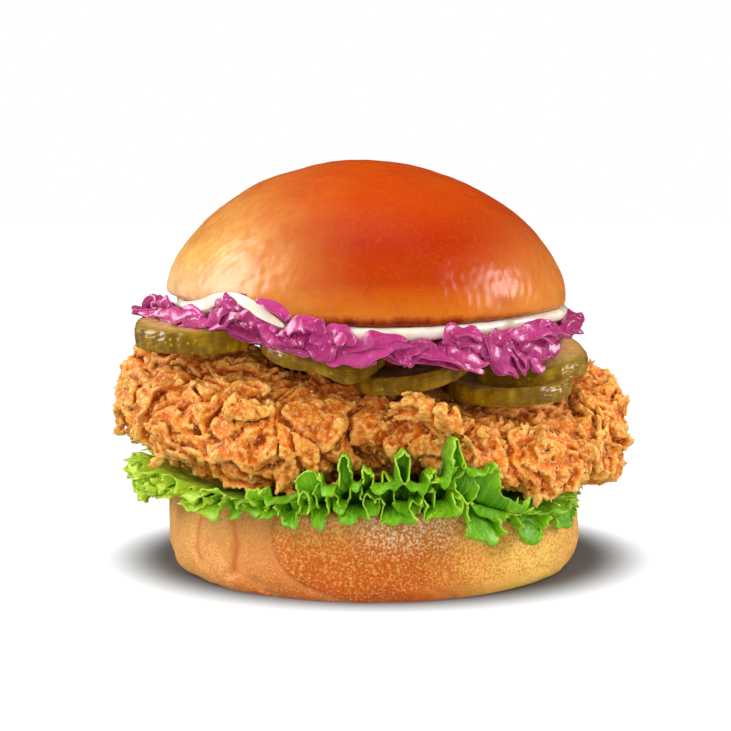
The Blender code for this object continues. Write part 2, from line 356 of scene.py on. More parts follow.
PATCHES, FLECKS, GRAIN = make_patches(), make_flecks(), make_grain()
print("shared effects:", PATCHES.name, FLECKS.name, GRAIN.name)

# %% [markdown]
# ## Stage: camera, floor and light
#
# The camera stands 450 mm in front of the burger, a little above its middle, and looks slightly
# down. A long lens keeps the stack upright. The air around the burger is white. The floor glows
# white to the camera, except for a soft grey oval round the burger's foot, which is a painted
# contact shadow; the floor also glows a little onto the burger. Seven large soft lights, two of them
# seen only in reflections, make the two broad highlights on the glazed crown and open up the crust's
# shadows.

# %% Camera
CAMERA_AT = (-1.2, -450.0, 100.0)  # mm
LOOKS_DOWN = 6.1  # degrees
LENS = 84.16  # mm, on a sensor 36 mm wide

camera = bpy.data.objects.new("camera", bpy.data.cameras.new("camera"))
camera.data.lens = LENS
camera.data.sensor_width = 36
camera.location = [v * MM for v in CAMERA_AT]
camera.rotation_euler = (math.radians(90 - LOOKS_DOWN), 0, 0)
camera.data.clip_start, camera.data.clip_end = 0.01, 50
bpy.context.scene.collection.objects.link(camera)
bpy.context.scene.camera = camera
bpy.context.scene.view_settings.view_transform = "Standard"
print("camera", CAMERA_AT)

# %% Floor, air and lights
FLOOR_SIDE = 8.0  # m

floor_mesh = bpy.data.meshes.new("floor")
half = FLOOR_SIDE / 2
floor_mesh.from_pydata([(-half, -half, 0), (half, -half, 0), (half, half, 0), (-half, half, 0)],
                       [], [(0, 1, 2, 3)])
# Where the painted contact shadow lies and how large it is, in mm.
SHADE_AT, SHADE_SIZE = (2.5, 8.0), (67.5, 62.0)  # mm: where the contact shadow lies


def floor_material():
    """White that glows, so that it stays white, except in a soft oval round the burger's foot: a
    painted contact shadow, where the glow fades to the floor's dark grey.

    What the burger gets back from the floor is set apart from what the camera sees of it: for light
    bouncing onto the burger the floor glows a little, and in reflections faintly.
    """
    n = Nodes("floor_glow_painted_shadow")
    shift = n.add("ShaderNodeMapping")
    n.feed(shift.inputs["Vector"], n.place)
    scale = [1 / (s * MM) for s in SHADE_SIZE]
    shift.inputs["Scale"].default_value = (*scale, 1)
    shift.inputs["Location"].default_value = (-SHADE_AT[0] * MM * scale[0],
                                              -SHADE_AT[1] * MM * scale[1], 0)
    apart = n.add("ShaderNodeVectorMath", operation="LENGTH")
    n.feed(apart.inputs[0], shift.outputs["Vector"])
    rays = n.add("ShaderNodeLightPath")
    # Painted contact shadow: to the camera the glow fades out inside the oval, leaving the dark grey.
    seen = n.between(apart.outputs["Value"], 0.84, 1.16, 0.0, 1.0)
    # The floor also glows onto the burger and shows faintly in its reflections, as if it were a lamp.
    lit = n.between(apart.outputs["Value"], 0.78, 0.95, 0.0, 0.4)
    mirrored = n.between(apart.outputs["Value"], 0.8, 1.2, 0.0, 0.05)
    glow = n.math("MULTIPLY", rays.outputs["Is Camera Ray"], seen)
    glow = n.math("ADD", glow, n.math("MULTIPLY", rays.outputs["Is Diffuse Ray"], lit))
    glow = n.math("ADD", glow, n.math("MULTIPLY", rays.outputs["Is Glossy Ray"], mirrored))
    n.feed(n.shader.inputs["Emission Strength"], glow)
    # Dark grey under the glow, so that the painted shadow is dark.
    paint = n.ramp(n.noise(40), (0, (0.15, 0.15, 0.15, 1)), (1, (0.16, 0.16, 0.16, 1)))
    return n.finish(paint, 0.9, Specular_IOR_Level=0.0, Emission_Color=(1, 1, 1, 1))


floor_mesh.materials.append(floor_material())
floor_mesh.materials[0].cycles.emission_sampling = "NONE"  # so that each kind of ray is told apart
floor = bpy.data.objects.new("floor", floor_mesh)
bpy.context.scene.collection.objects.link(floor)
floor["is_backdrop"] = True


def soft_light(name, at, aim, size, watts, tint=(1, 1, 1)):
    """A square light of size mm at a place, turned to face another."""
    lamp = bpy.data.lights.new(name, "AREA")
    lamp.size = size * MM
    lamp.energy = watts
    lamp.color = tint
    made = bpy.data.objects.new(name, lamp)
    way = np.array(aim, float) - np.array(at, float)
    made.location = [v * MM for v in at]
    made.rotation_euler = (math.acos(-way[2] / np.linalg.norm(way)), 0,
                           math.atan2(-way[0], way[1]))
    bpy.context.scene.collection.objects.link(made)
    return made


key = soft_light("key_left", (-640, -120, 340), (0, 0, 50), 380, 3.0)
right = soft_light("fill_right", (640, -140, 300), (0, 0, 55), 300, 2.7)
front = soft_light("front", (-160, -800, 520), (0, 0, 40), 420, 2.3)
front.visible_glossy = False
low = soft_light("low_front", (60, -760, 60), (0, 0, 40), 340, 2.0)
low.visible_glossy = False
top = soft_light("top", (0, -80, 760), (0, 0, 60), 420, 2.2)
top.visible_glossy = False
shine_left = soft_light("shine_left", (-590, -35, 400), (-32, -38, 84), 470, 4.2)
shine_left.visible_diffuse = False
shine_right = soft_light("shine_right", (600, -20, 297), (33, -38, 79), 280, 1.3)
shine_right.visible_diffuse = False

world = bpy.data.worlds.new("air")
bpy.context.scene.world = world
world.use_nodes = True
world.cycles.sampling_method = "NONE"
air = world.node_tree
backdrop = air.nodes["Background"]
backdrop.inputs["Color"].default_value = (1, 1, 1, 1)
rays = air.nodes.new("ShaderNodeLightPath")
LIGHT_FROM_AIR, MIRRORED_AIR = 0.34, 0.03


def lerp_node(share, low, high):
    """A map from 0..1 to low..high in the world's nodes."""
    node = air.nodes.new("ShaderNodeMapRange")
    air.links.new(share, node.inputs["Value"])
    for key, value in (("To Min", low), ("To Max", high)):
        if isinstance(value, float):
            node.inputs[key].default_value = value
        else:
            air.links.new(value, node.inputs[key])
    return node.outputs["Result"]


unseen = lerp_node(rays.outputs["Is Glossy Ray"], LIGHT_FROM_AIR, MIRRORED_AIR)
air.links.new(lerp_node(rays.outputs["Is Camera Ray"], unseen, 1.0), backdrop.inputs["Strength"])
print("stage set")


# %% [markdown]
# ## Crown and heel: baked crust
#
# The top bun is a dome a little less full than half an ellipse, glazed with egg, deep orange-brown
# above and golden near the cut. The bottom bun is a low drum with soft corners and pinched folds
# where the dough was tucked in. Both are turned shapes, so each is a profile carried round a circle,
# with the circle's unevenness and the folds added to the radius.

# %% Bun sizes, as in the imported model
BUN_RADIUS, HEEL_HEIGHT, HEEL_FOOT, HEEL_X = 54.2, 22.4, 48.6, 0.7
CROWN_X, CROWN_RADIUS, CROWN_BASE, CROWN_HEIGHT = -1.0, 52.2, 67.2, 38.8
CROWN_FULLNESS, CROWN_LEAN = 1.064, 1.3


def crown_base(x, y):
    """Height of the crown's cut face: lifted at the left by the slaw and a little at the right."""
    lift = 5.0 * bell(x + 62, 34) + 1.2 * bell(x - 48, 22)
    return CROWN_BASE + lift + 0.02 * y * bell(x, 60)


# %% Crown surface


def crown_surface(turns=420, steps=130):
    """Point = centre + radius * share(v) * (cos u, sin u); height = base + rise(v) * dome height.

    v runs along the cut face, round the lip, and over the dome as a superellipse.
    """
    u = np.linspace(0, math.tau, turns, endpoint=False)[None, :]
    cut = np.array([0.0, 0.5, 0.9, 0.95, 0.97])
    lip = np.linspace(-90, 0, 9)[1:]
    dome = np.linspace(0, 90, steps)[1:]
    lip_t, dome_t = np.radians(lip), np.radians(dome)
    share = np.concatenate([cut, 0.975 + 0.025 * np.cos(lip_t), np.cos(dome_t) ** CROWN_FULLNESS])
    rise = np.concatenate([0 * cut, 0.045 * (1 + np.sin(lip_t)),
                           0.045 + 0.955 * np.sin(dome_t) ** CROWN_FULLNESS])
    share, rise = share[:, None], rise[:, None]
    radius = CROWN_RADIUS * (1 + 0.004 * np.sin(2 * u + 1) + 0.003 * np.sin(5 * u))
    x = CROWN_X + share * radius * np.cos(u)
    y = share * radius * np.sin(u)
    lift = crown_base(x, y) - CROWN_BASE
    z = CROWN_BASE + CROWN_HEIGHT * rise + lift * (1 - rise) ** 4
    x = x - CROWN_LEAN * rise**2
    points = np.stack([x, y, z], axis=-1)
    out = np.stack([np.cos(u) * share, np.sin(u) * share, rise + 0.1 + 0 * u], axis=-1)
    out /= np.linalg.norm(out, axis=-1, keepdims=True)
    skin = smoothstep(0.0, 0.05, rise)
    dents = 0.16 * waves(points, 16, 3) + 0.05 * waves(points * (1, 1, 0.45), 3.2, 4)
    wrinkle = 0.07 * waves(points * (1, 1, 0.3), 1.9, 5) * bell(rise - 0.15, 0.35)
    points = points + out * (skin * (dents + wrinkle))[..., None]
    points[0] = points[0].mean(axis=0)
    points[-1] = points[-1].mean(axis=0)
    return points


def closed_turning(points):
    """(points, faces) of rings whose first and last are poles, as one closed skin of quads."""
    rows, columns = points.shape[:2]
    faces = band_faces(rows, columns)
    flat = points.reshape(-1, 3)
    index = np.arange(rows * columns)
    index[:columns] = 0
    index[-columns:] = rows * columns - 1
    faces = index[faces]
    used, faces = np.unique(faces, return_inverse=True)
    return flat[used], faces.reshape(-1, 4), used


def without_doubles(faces):
    """Quads as triangles, leaving out those that a pole flattened."""
    faces = np.concatenate([faces[:, [0, 1, 2]], faces[:, [0, 2, 3]]])
    good = ((faces[:, 0] != faces[:, 1]) & (faces[:, 1] != faces[:, 2])
            & (faces[:, 0] != faces[:, 2]))
    return faces[good]


# %% [markdown]
# ### Crown glaze
#
# The crust is darkest on top, where the oven's heat reached it, and fades to gold near the cut. The
# glaze is a thin shiny coat over a finely wrinkled skin. A pale cream patch low on the left is a
# painted highlight, the gold on the left and right sides is partly the bake's colour and partly
# painted highlight, and the dark band along the cut is painted shade where the lip turns under.

# %% Crown material


def crown_glaze():
    n = Nodes("crown_glaze")
    bake = n.height(66, 106)
    streaks = n.noise(3.2, 3, 0.6, 0.4, n.spread((1, 1, 0.3)))
    edge = n.math("ADD", bake, n.between(streaks, 0.3, 0.7, -0.004, 0.004))
    # The two lowest stops, darkest right at the cut, are painted shade under the lip; the rest is the
    # bake's colour, darkest on top.
    base = n.ramp(edge, (0.0, linear(96, 24, 2)), (0.004, linear(146, 50, 3)),
                  (0.016, linear(214, 114, 18)), (0.07, linear(202, 96, 9)),
                  (0.17, linear(180, 58, 1)), (0.5, linear(170, 40, 0)), (1.0, linear(200, 74, 2)))
    # Lighter gold on the left, most of all low down: partly the bake's colour, partly a painted
    # highlight.
    left = n.between(streaks, 0.3, 0.7, 0.85, 1.1)
    left = n.math("MULTIPLY", n.height(0, -46, "X"), left)
    low = n.height(104, 80)
    gold = n.math("MULTIPLY", left, n.math("ADD", 0.45, n.math("MULTIPLY", low, 0.5)))
    base = n.mix(gold, base, linear(238, 180, 92))
    # Pale cream low on the left: a painted highlight.
    pale = n.math("MULTIPLY", n.height(-26, -50, "X"), n.height(84, 70))
    base = n.mix(n.math("MULTIPLY", pale, 0.8), base, linear(252, 222, 168))
    # Gold on the right, low down: partly the bake's colour, partly a painted highlight.
    right = n.math("MULTIPLY", n.height(16, 56, "X"), n.height(100, 72))
    base = n.mix(n.math("MULTIPLY", right, 0.75), base, linear(232, 156, 70))
    # A dark band along the cut: painted shade where the lip turns under.
    rim = n.height(67.8, 66.4)
    base = n.mix(n.math("MULTIPLY", rim, 0.6), base, linear(132, 34, 2))
    base = n.mix(n.math("MULTIPLY", n.effect(PATCHES, Size=14, Low=0.38, High=0.7), 0.3), base,
                 linear(176, 44, 1))
    base = n.mix(n.math("MULTIPLY", n.effect(PATCHES, Size=1.1, Low=0.5, High=0.8), 0.22), base,
                 linear(222, 110, 22))
    weave = n.bump(n.noise(1.5, 3, 0.55, 1.0, n.spread((0.7, 0.7, 1.4))), 0.24,
                   n.effect(GRAIN, Size=0.7, Depth=0.07))
    wrinkle = n.bump(n.noise(2.4, 3, 0.6, 0.8, n.spread((1, 1, 0.35))), 0.36, weave)
    rough = n.between(n.noise(3, 2), 0.3, 0.7, 0.38, 0.46)
    return n.finish(base, rough, wrinkle, Coat_Weight=0.6, Coat_Roughness=0.26,
                    Specular_IOR_Level=0.0, Subsurface_Weight=0.0,
                    Subsurface_Radius=(0.004, 0.0015, 0.0005), Subsurface_Scale=0.3)


crown_points, crown_faces, _ = closed_turning(crown_surface())
piece("crown_crust", crown_points, without_doubles(crown_faces), "crown",
      crown_glaze())

# %% Heel surface
# The fourth number of each fold is how much painted shade darkens its crease.
FOLDS = (  # (drawn in on this side, depth in mm, fades over degrees, browner by, its line)
    (1, 1.5, 7.0, 0.2, ((0.5, -120), (3.9, -126.5), (5.2, -131.5), (8.6, -136.4), (13, -140.2),
                        (20, -143))),
    (-1, 1.6, 9.0, 0.1, ((0.5, -96), (3.4, -104.9), (5.0, -109.5), (8.3, -114.2), (11.5, -116.4),
                         (16, -118), (21, -117))),
    (1, 1.4, 2.8, 1.0, ((5, -131.5), (9, -130.6), (12, -130), (15, -131), (20, -133))),
    (1, 1.1, 3.0, 1.0, ((6, -143), (9, -145.5), (13, -146), (17, -145))),
    (1, 0.5, 2.2, 0.3, ((3, -121), (9, -122.5), (14, -124))),
    (-1, 0.6, 5.0, 0.3, ((0.5, -66), (4, -74), (7, -80))))  # line: (height in mm, degrees), ...


def fold_depth(height, angle):
    """(mm the folds draw the wall in, how much painted shade darkens the crease): a step on one side
    that fades away.
    """
    total, brown = 0, 0
    for way, depth, fades, browner, line in FOLDS:
        z, at = np.array(line, float).T
        apart = way * np.degrees(angle_apart(angle, np.radians(np.interp(height, z, at))))
        ends = smoothstep(z[0] - 2.5, z[0] + 1, height) * smoothstep(z[-1] + 4, z[-1] - 1, height)
        step = ends * smoothstep(-1.2, 0.6, apart) * np.exp(-np.maximum(apart, 0) / fades)
        total, brown = total + depth * step, brown + browner * step
    return total, brown


def heel_surface(turns=420):
    """Point = centre + radius(v) * (cos u, sin u), drawn in by the folds, over a drum's profile."""
    u = np.linspace(0, math.tau, turns, endpoint=False)[None, :]
    belly = 7.5
    corner = np.radians(np.linspace(0, 90, 22))
    wall = np.linspace(0, 1, 26)[1:]
    shoulder = np.radians(np.linspace(0, 90, 10))[1:]
    radius = np.concatenate([HEEL_FOOT * np.array([0, 0.5, 0.9]),
                             HEEL_FOOT + (BUN_RADIUS - HEEL_FOOT) * np.sin(corner),
                             BUN_RADIUS - 1.0 * wall**2,
                             BUN_RADIUS - 1.0 - 2.2 * (1 - np.cos(shoulder)),
                             BUN_RADIUS * np.array([0.88, 0.5, 0])])
    height = np.concatenate([np.zeros(3), belly * (1 - np.cos(corner)),
                             belly + (HEEL_HEIGHT - 2.2 - belly) * wall,
                             HEEL_HEIGHT - 2.2 + 2.2 * np.sin(shoulder),
                             np.full(3, HEEL_HEIGHT)])
    radius, height = radius[:, None], height[:, None]
    out = radius * (1 + 0.006 * np.sin(3 * u + 0.8))
    on_wall = smoothstep(HEEL_FOOT - 3, HEEL_FOOT + 1, radius)
    draw, _ = fold_depth(height + 0 * u, u + 0 * height)
    out = out - draw * on_wall
    x, y = HEEL_X + out * np.cos(u), out * np.sin(u)
    points = np.stack([x, y, height + 0 * x], axis=-1)
    way = np.stack([np.cos(u) + 0 * radius, np.sin(u) + 0 * radius, 0 * x], axis=-1)
    rough = 0.35 * waves(points, 13, 11) + 0.12 * waves(points, 3.5, 12)
    points = points + way * (on_wall * rough)[..., None]
    points[0] = points[0].mean(axis=0)
    points[-1] = points[-1].mean(axis=0)
    return points


# %% [markdown]
# ### Heel crust
#
# The bottom bun stood on the baking tray, so its wall is less glazed and finely pored: a mesh of
# tan dimples on golden brown, paler towards the cut and towards the left and right. The creases of
# its folds are darkened with painted shade, and painted glints sit on the dimples high on the wall
# near the middle.

# %% Heel material


def heel_bake():
    n = Nodes("heel_bake")
    fold, brown = n.attribute("fold"), n.attribute("brown")
    base = n.ramp(n.height(0, 22), (0.0, linear(212, 98, 18)), (0.25, linear(212, 104, 22)),
                  (0.6, linear(214, 116, 32)), (0.85, linear(222, 142, 58)),
                  (1.0, linear(230, 168, 92)))
    right, left = n.height(8, 42, "X"), n.height(-20, -46, "X")
    base = n.mix(n.math("MULTIPLY", right, 0.95), base, linear(255, 204, 92))
    base = n.mix(n.math("MULTIPLY", left, 0.8), base, linear(244, 180, 96))
    base = n.mix(n.math("MULTIPLY", n.height(42, 54, "X"), 0.7), base, linear(244, 174, 88))
    worm = n.noise(0.62, 1.5, 0.5, 0.5)
    folded_off = n.math("SUBTRACT", 1.0, n.between(fold, 0.1, 2.2, 0.0, 0.55))
    smooth = n.math("MULTIPLY", n.height(5.5, 2.5), n.height(2, 14, "X"))
    mottle = n.math("MULTIPLY", n.math("SUBTRACT", 1.0, smooth), folded_off)
    mottle = n.math("MULTIPLY", mottle, n.math("SUBTRACT", 1.0, n.math("MULTIPLY", left, 0.4)))
    pits = n.math("MULTIPLY", n.between(worm, 0.5, 0.4), mottle)
    base = n.mix(n.math("MULTIPLY", pits, 0.5), base, linear(186, 72, 4))
    net = n.math("MULTIPLY", n.between(worm, 0.54, 0.64), mottle)
    base = n.mix(n.math("MULTIPLY", net, 0.42), base, linear(255, 206, 118))
    base = n.mix(n.math("MULTIPLY", n.between(fold, 0.05, 1.6), 0.45), base, linear(236, 166, 92))
    # Painted shade in the creases of the folds.
    base = n.mix(n.math("MULTIPLY", n.between(brown, 0.25, 1.0), 0.7), base, linear(196, 96, 30))
    dimple = n.bump(worm, 0.42, n.effect(GRAIN, Size=0.5, Depth=0.05), 0.9)
    folds = n.bump(n.noise(6, 3, 0.55, 0.6, n.spread((1, 1, 0.6))), 0.6, dimple)
    # Painted glints: a pale colour on the tops of the dimples, high on the wall near the middle; the
    # same band is also glossier.
    sheen = n.math("MULTIPLY", n.height(10, 17), n.math("MULTIPLY", n.height(-6, 2, "X"),
                                                        n.height(24, 16, "X")))
    glint = n.math("MULTIPLY", sheen, n.between(worm, 0.5, 0.6))
    base = n.mix(n.math("MULTIPLY", glint, 0.55), base, linear(255, 236, 208))
    return n.finish(base, n.between(sheen, 0, 1, 0.55, 0.38), folds, Coat_Weight=0.1,
                    Coat_Roughness=0.22, Specular_IOR_Level=0.25, Subsurface_Weight=0.05,
                    Subsurface_Radius=(0.004, 0.002, 0.001), Subsurface_Scale=0.3)


heel_points, heel_faces, _ = closed_turning(heel_surface())
heel_turn = np.arctan2(heel_points[:, 1], heel_points[:, 0] - HEEL_X)
# The creases' painted shade travels to the material as an attribute.
drawn_in, browner = fold_depth(heel_points[:, 2], heel_turn)
piece("heel_crust", heel_points, without_doubles(heel_faces), "heel", heel_bake(),
      {"fold": drawn_in, "brown": browner})

# %% [markdown]
# ## Fried fillet: flakes grown on a lump of meat
#
# Breading that was dipped twice fries into thin flakes that stand up, curl and run into each other,
# with deep cracks between them. A height map can't fold over itself, so the crust is worked out as a
# solid field instead: every point of a fine grid holds its distance to the nearest surface. The
# meat's lump, hundreds of curled flakes and some crumbs are joined in that field with soft seams,
# the whole field is bent by a gentle warp, and the surface is then read out as a net of quads.

# %% Fillet form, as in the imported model
REACH = (68, 64, 58, 54, 51, 51, 54, 58, 63, 66, 67.5, 67, 63, 56, 50.5, 60, 67, 69)
SAG = (1, 1, 1, 1, 1, 1, 1, 1, 0, -2, -3, -1, 2, 2, 0, 2, 4, 4)
THICKNESS, RIM = 27.4, 3.4


def bump_at(x, y, at_x, at_y, width):
    """A round bump in plan, 1 at its centre."""
    return bell(np.hypot(x - at_x, y - at_y), width)


def fillet_top(x, y):
    """Height of the meat's top: high on the left, dished under the slices at the front right."""
    return (52.2 + 8.6 * bump_at(x, y, -48, -14, 30) - 7.0 * bump_at(x, y, 32, -28, 30)
            + 8.0 * bump_at(x, y, 60, 4, 16))


def fillet_under(x, y):
    """Height of the meat's underside: arched at the front, hanging at the right end."""
    return (52.2 - THICKNESS + 8.5 * bump_at(x, y, 5, -52, 14)
            - 9.0 * bump_at(x, y, 68, -16, 12) - 3.0 * bump_at(x, y, 40, -54, 14)
            + 1.5 * bump_at(x, y, -58, -30, 16))


def lump(x, y, z, inset):
    """Roughly the distance to the meat: a rounded pad between top and underside."""
    angle = np.arctan2(y, x)
    reach = around(REACH, angle) - inset
    out = np.hypot(x, y) / reach
    high, low = fillet_top(x, y) - inset, fillet_under(x, y) + inset
    middle = (high + low) / 2 - around(SAG, angle) * np.minimum(out, 1.1) ** 6
    up = np.abs(z - middle) / ((high - low) / 2)
    field = (out**RIM + up**RIM) ** (1 / RIM) - 1
    return field * np.minimum((high - low) / 2, reach)


# %% A grid of points around the fillet
STEP = 0.5  # mm
LOW_CORNER, HIGH_CORNER = np.array([-75.0, -66.0, 13.0]), np.array([77.0, 62.0, 65.0])
axes = [np.arange(low, high, STEP, dtype=np.float32) for low, high in zip(LOW_CORNER, HIGH_CORNER)]
GX, GY, GZ = np.meshgrid(*axes, indexing="ij")
print("grid", GX.shape, f"{GX.size / 1e6:.1f} million points")


def grid_noise(size, seed, spread=0.45):
    """Random field on the grid with one size of blotch: white noise kept near one wavelength."""
    rng = np.random.default_rng(seed)
    shape = GX.shape
    spectrum = np.fft.rfftn(rng.standard_normal(shape, dtype=np.float32))
    k = [np.fft.fftfreq(n, STEP) for n in shape[:2]] + [np.fft.rfftfreq(shape[2], STEP)]
    kx, ky, kz = np.meshgrid(*k, indexing="ij")
    cycle = np.sqrt(kx**2 + ky**2 + kz**2) * size
    spectrum *= np.exp(-(((cycle - 1) / spread) ** 2))
    field = np.fft.irfftn(spectrum, shape)
    return (field / field.std()).astype(np.float32)


def blurred(field, radius):
    """The field averaged by a Gaussian of a radius in mm."""
    k = [np.fft.fftfreq(n, STEP) for n in field.shape[:2]] + [np.fft.rfftfreq(field.shape[2], STEP)]
    kx, ky, kz = np.meshgrid(*k, indexing="ij")
    keep = np.exp(-2 * (math.pi * radius) ** 2 * (kx**2 + ky**2 + kz**2))
    return np.fft.irfftn(np.fft.rfftn(field) * keep, field.shape).astype(np.float32)


# %% [markdown]
# ### Reading a surface out of the field
#
# A surface net puts one point in every grid cell that the surface passes through, at the middle of
# its crossings, and joins the points of the four cells round every crossed grid edge by a quad.

# %% Surface net


def surface_net(field, origin, step_mm):
    """(points, quads) of the closed surface where the field is 0, in mm."""
    shape = np.array(field.shape)
    inside = field < 0
    strides = np.array([shape[1] * shape[2], shape[2], 1])
    cells, spots, quads = [], [], []
    for axis in range(3):
        ahead = [slice(None)] * 3
        behind = [slice(None)] * 3
        ahead[axis], behind[axis] = slice(1, None), slice(None, -1)
        crossed = np.argwhere(inside[tuple(ahead)] != inside[tuple(behind)])
        crossed = crossed[(crossed > 0).all(axis=1) & (crossed < shape - 2).all(axis=1)]
        near = field[tuple(crossed.T)].astype(float)
        step = np.zeros(3, int)
        step[axis] = 1
        far = field[tuple((crossed + step).T)].astype(float)
        spot = crossed + np.outer(near / (near - far), step)
        b, c = [np.eye(3, dtype=int)[(axis + k) % 3] for k in (1, 2)]
        ring = np.stack([crossed, crossed - b, crossed - b - c, crossed - c], axis=1)
        flip = near > 0
        ring[flip] = ring[flip][:, ::-1]
        numbers = ring @ strides
        cells.append(numbers.ravel())
        spots.append(np.repeat(spot, 4, axis=0))
        quads.append(numbers)
    cells, spots, quads = np.concatenate(cells), np.concatenate(spots), np.concatenate(quads)
    used, index = np.unique(cells, return_inverse=True)
    count = np.bincount(index)
    points = np.stack([np.bincount(index, spots[:, k]) / count for k in range(3)], axis=1)
    quads = np.searchsorted(used, quads)
    return origin + points * step_mm, quads


def sampled(field, points):
    """The field's values at points, between the grid's own."""
    place = (points - LOW_CORNER) / STEP
    i = np.clip(np.floor(place).astype(int), 0, np.array(field.shape) - 2)
    t = place - i
    total = 0
    for corner in np.ndindex(2, 2, 2):
        weight = np.prod(np.where(corner, t, 1 - t), axis=1)
        total = total + weight * field[tuple((i + corner).T)]
    return total


# %% [markdown]
# ### Lobes and folds
#
# Seen close, the breading is made of lobes, and each lobe of folds that wind round its middle and
# lean over each other like scales. So every point takes the nearest lobe's middle, and the distance
# from it, counted in folds, runs through a shape that climbs slowly to a lip and drops off behind it.
# Adding some of the height above the meat to that count makes the lips lean out and curl over.

# %% Fold field
INSET = 3.3  # mm of the fillet's outline left to the crust
LOBES = [  # x, y, z of the middle, mm between two folds, how many times taller than wide they run
    (-31, -55, 45, 7.6, 1.0), (-60, -36, 50, 6.4, 1.3), (-49, -47, 33, 5.0, 1.0),
    (-14, -58, 36, 6.6, 1.0), (-10, -50, 52, 4.6, 1.8), (7, -47, 46, 3.9, 2.2),
    (21, -46, 41, 4.0, 2.0), (46, -50, 37, 3.2, 1.5), (67, -22, 36, 3.6, 1.4),
    (54, -34, 50, 3.0, 0.7), (66, 6, 52, 4.0, 1.0), (-46, -20, 60, 5.5, 0.8)]


def soft_union(a, b, seam):
    """The smaller of two distances, blended over a seam's width."""
    t = np.clip(0.5 + 0.5 * (b - a) / seam, 0, 1)
    return b + (a - b) * t - seam * t * (1 - t)


def sown(points, apart, seed):
    """A random choice of the points with no two nearer than apart, in mm."""
    rng = np.random.default_rng(seed)
    order = rng.permutation(len(points))
    taken, buckets = [], {}
    for number in order:
        spot = points[number]
        key = tuple((spot // apart).astype(int))
        near = [other for dx in (-1, 0, 1) for dy in (-1, 0, 1) for dz in (-1, 0, 1)
                for other in buckets.get((key[0] + dx, key[1] + dy, key[2] + dz), ())]
        if all(((spot - points[other]) ** 2).sum() >= apart**2 for other in near):
            buckets.setdefault(key, []).append(number)
            taken.append(number)
    return np.array(taken)


def unit(vectors):
    return vectors / np.maximum(np.linalg.norm(vectors, axis=-1, keepdims=True), 1e-9)


meat = lump(GX, GY, GZ, INSET)
pace = np.sqrt(sum(g**2 for g in np.gradient(meat, STEP)))  # of the field, 1 for a true distance
meat = (meat / np.maximum(pace, 0.05)).astype(np.float32)
on_meat, _ = surface_net(meat[::2, ::2, ::2], LOW_CORNER, 2 * STEP)
on_meat = on_meat[np.hypot(on_meat[:, 0], on_meat[:, 1]) > 26]
rng = np.random.default_rng(31)
more = on_meat[sown(on_meat, 17.0, 61)]
heroes = np.array([lobe[:3] for lobe in LOBES])
lonely = np.linalg.norm(more[:, None] - heroes, axis=2).min(axis=1) > 15
LOBES += [(*spot, rng.uniform(3.6, 6.0), rng.uniform(0.8, 1.8)) for spot in more[lonely]]
print("lobes:", len(LOBES))


def folded(spots, above, wobble, patchy):
    """Height of the breading over the meat, in mm, at points (n, 3) that lie above mm over it.

    With t = distance to the nearest lobe's middle / its fold spacing + wobble + lean * above and
    u the fraction of t, a fold is a slow climb to u = 0.7 and a quick fall to u = 1.
    """
    nearest = np.full(len(spots), 1e3, np.float32)
    second, turns, gaps = nearest.copy(), nearest.copy(), nearest.copy()
    for x, y, z, gap, tall in LOBES:
        away = np.sqrt((spots[:, 0] - x) ** 2 + (spots[:, 1] - y) ** 2
                       + ((spots[:, 2] - z) / tall) ** 2) + 0.3 * gap
        closer = away < nearest
        second = np.where(closer, nearest, np.minimum(second, away))
        turns, gaps = np.where(closer, away / gap, turns), np.where(closer, gap, gaps)
        nearest = np.where(closer, away, nearest)
    u = np.mod(turns + wobble - 0.55 * above / gaps, 1)
    fold = smoothstep(0, 0.72, u) ** 0.8 * (1 - smoothstep(0.8, 1.0, u))
    u = np.mod(2.6 * turns + 1.7 * wobble - 1.1 * above / gaps, 1)
    fold += 0.3 * smoothstep(0, 0.7, u) * (1 - smoothstep(0.8, 1.0, u)) * (patchy > 0.7)
    border = np.exp(-(second - nearest) / 1.5)
    return 0.34 * gaps * fold * patchy - 2.4 * border + 0.6


bent = [g + 1.6 * grid_noise(16, 40 + k) + 0.3 * grid_noise(6, 50 + k)
        for k, g in enumerate((GX, GY, GZ))]
near = np.abs(meat) < 8
spots = np.stack([b[near] for b in bent], axis=1)
wobble = (0.25 * grid_noise(16, 80) + 0.06 * grid_noise(6, 81))[near]
patchy = np.clip(0.8 + 0.35 * grid_noise(10, 82)[near], 0.25, 1.25)
straight = np.stack([g[near] for g in (GX, GY, GZ)], axis=1)
above = lump(*(0.35 * spots + 0.65 * straight).T, INSET) / pace[near]
groove = 3.2 * np.exp(-np.abs(spots[:, 0] + 2.5) / 1.5) * smoothstep(-38, -46, spots[:, 1])
puffs = (0.45 * np.abs(grid_noise(6.5, 83)) ** 0.8 + 0.24 * np.abs(grid_noise(3, 84)) ** 0.8)[near]
crest = (3.2 * bell(GX - 14, 12) * bell(GY + 54, 5) * bell(GZ - 50, 4.5)
         + 2.8 * bell(GX - 20, 13) * bell(GY + 57, 7) * bell(GZ - 45, 8)
         + 2.6 * bell(GX - 38, 14) * bell(GY + 49, 5) * bell(GZ - 47, 4)
         - 2.2 * bell(GX + 3, 8) * bell(GY + 49, 8) * bell(GZ - 52, 5))[near]
crust = meat.copy()
crust[near] = above - folded(spots, above, wobble, patchy) + groove - puffs - crest + 0.5


# %% [markdown]
# ### Loose flakes
#
# Where the breading was driest, thin flakes stand up from the folds. Each is a small sheet, rooted
# along one edge and curled at the other, joined to the field inside a window just round it.

# %% Flakes


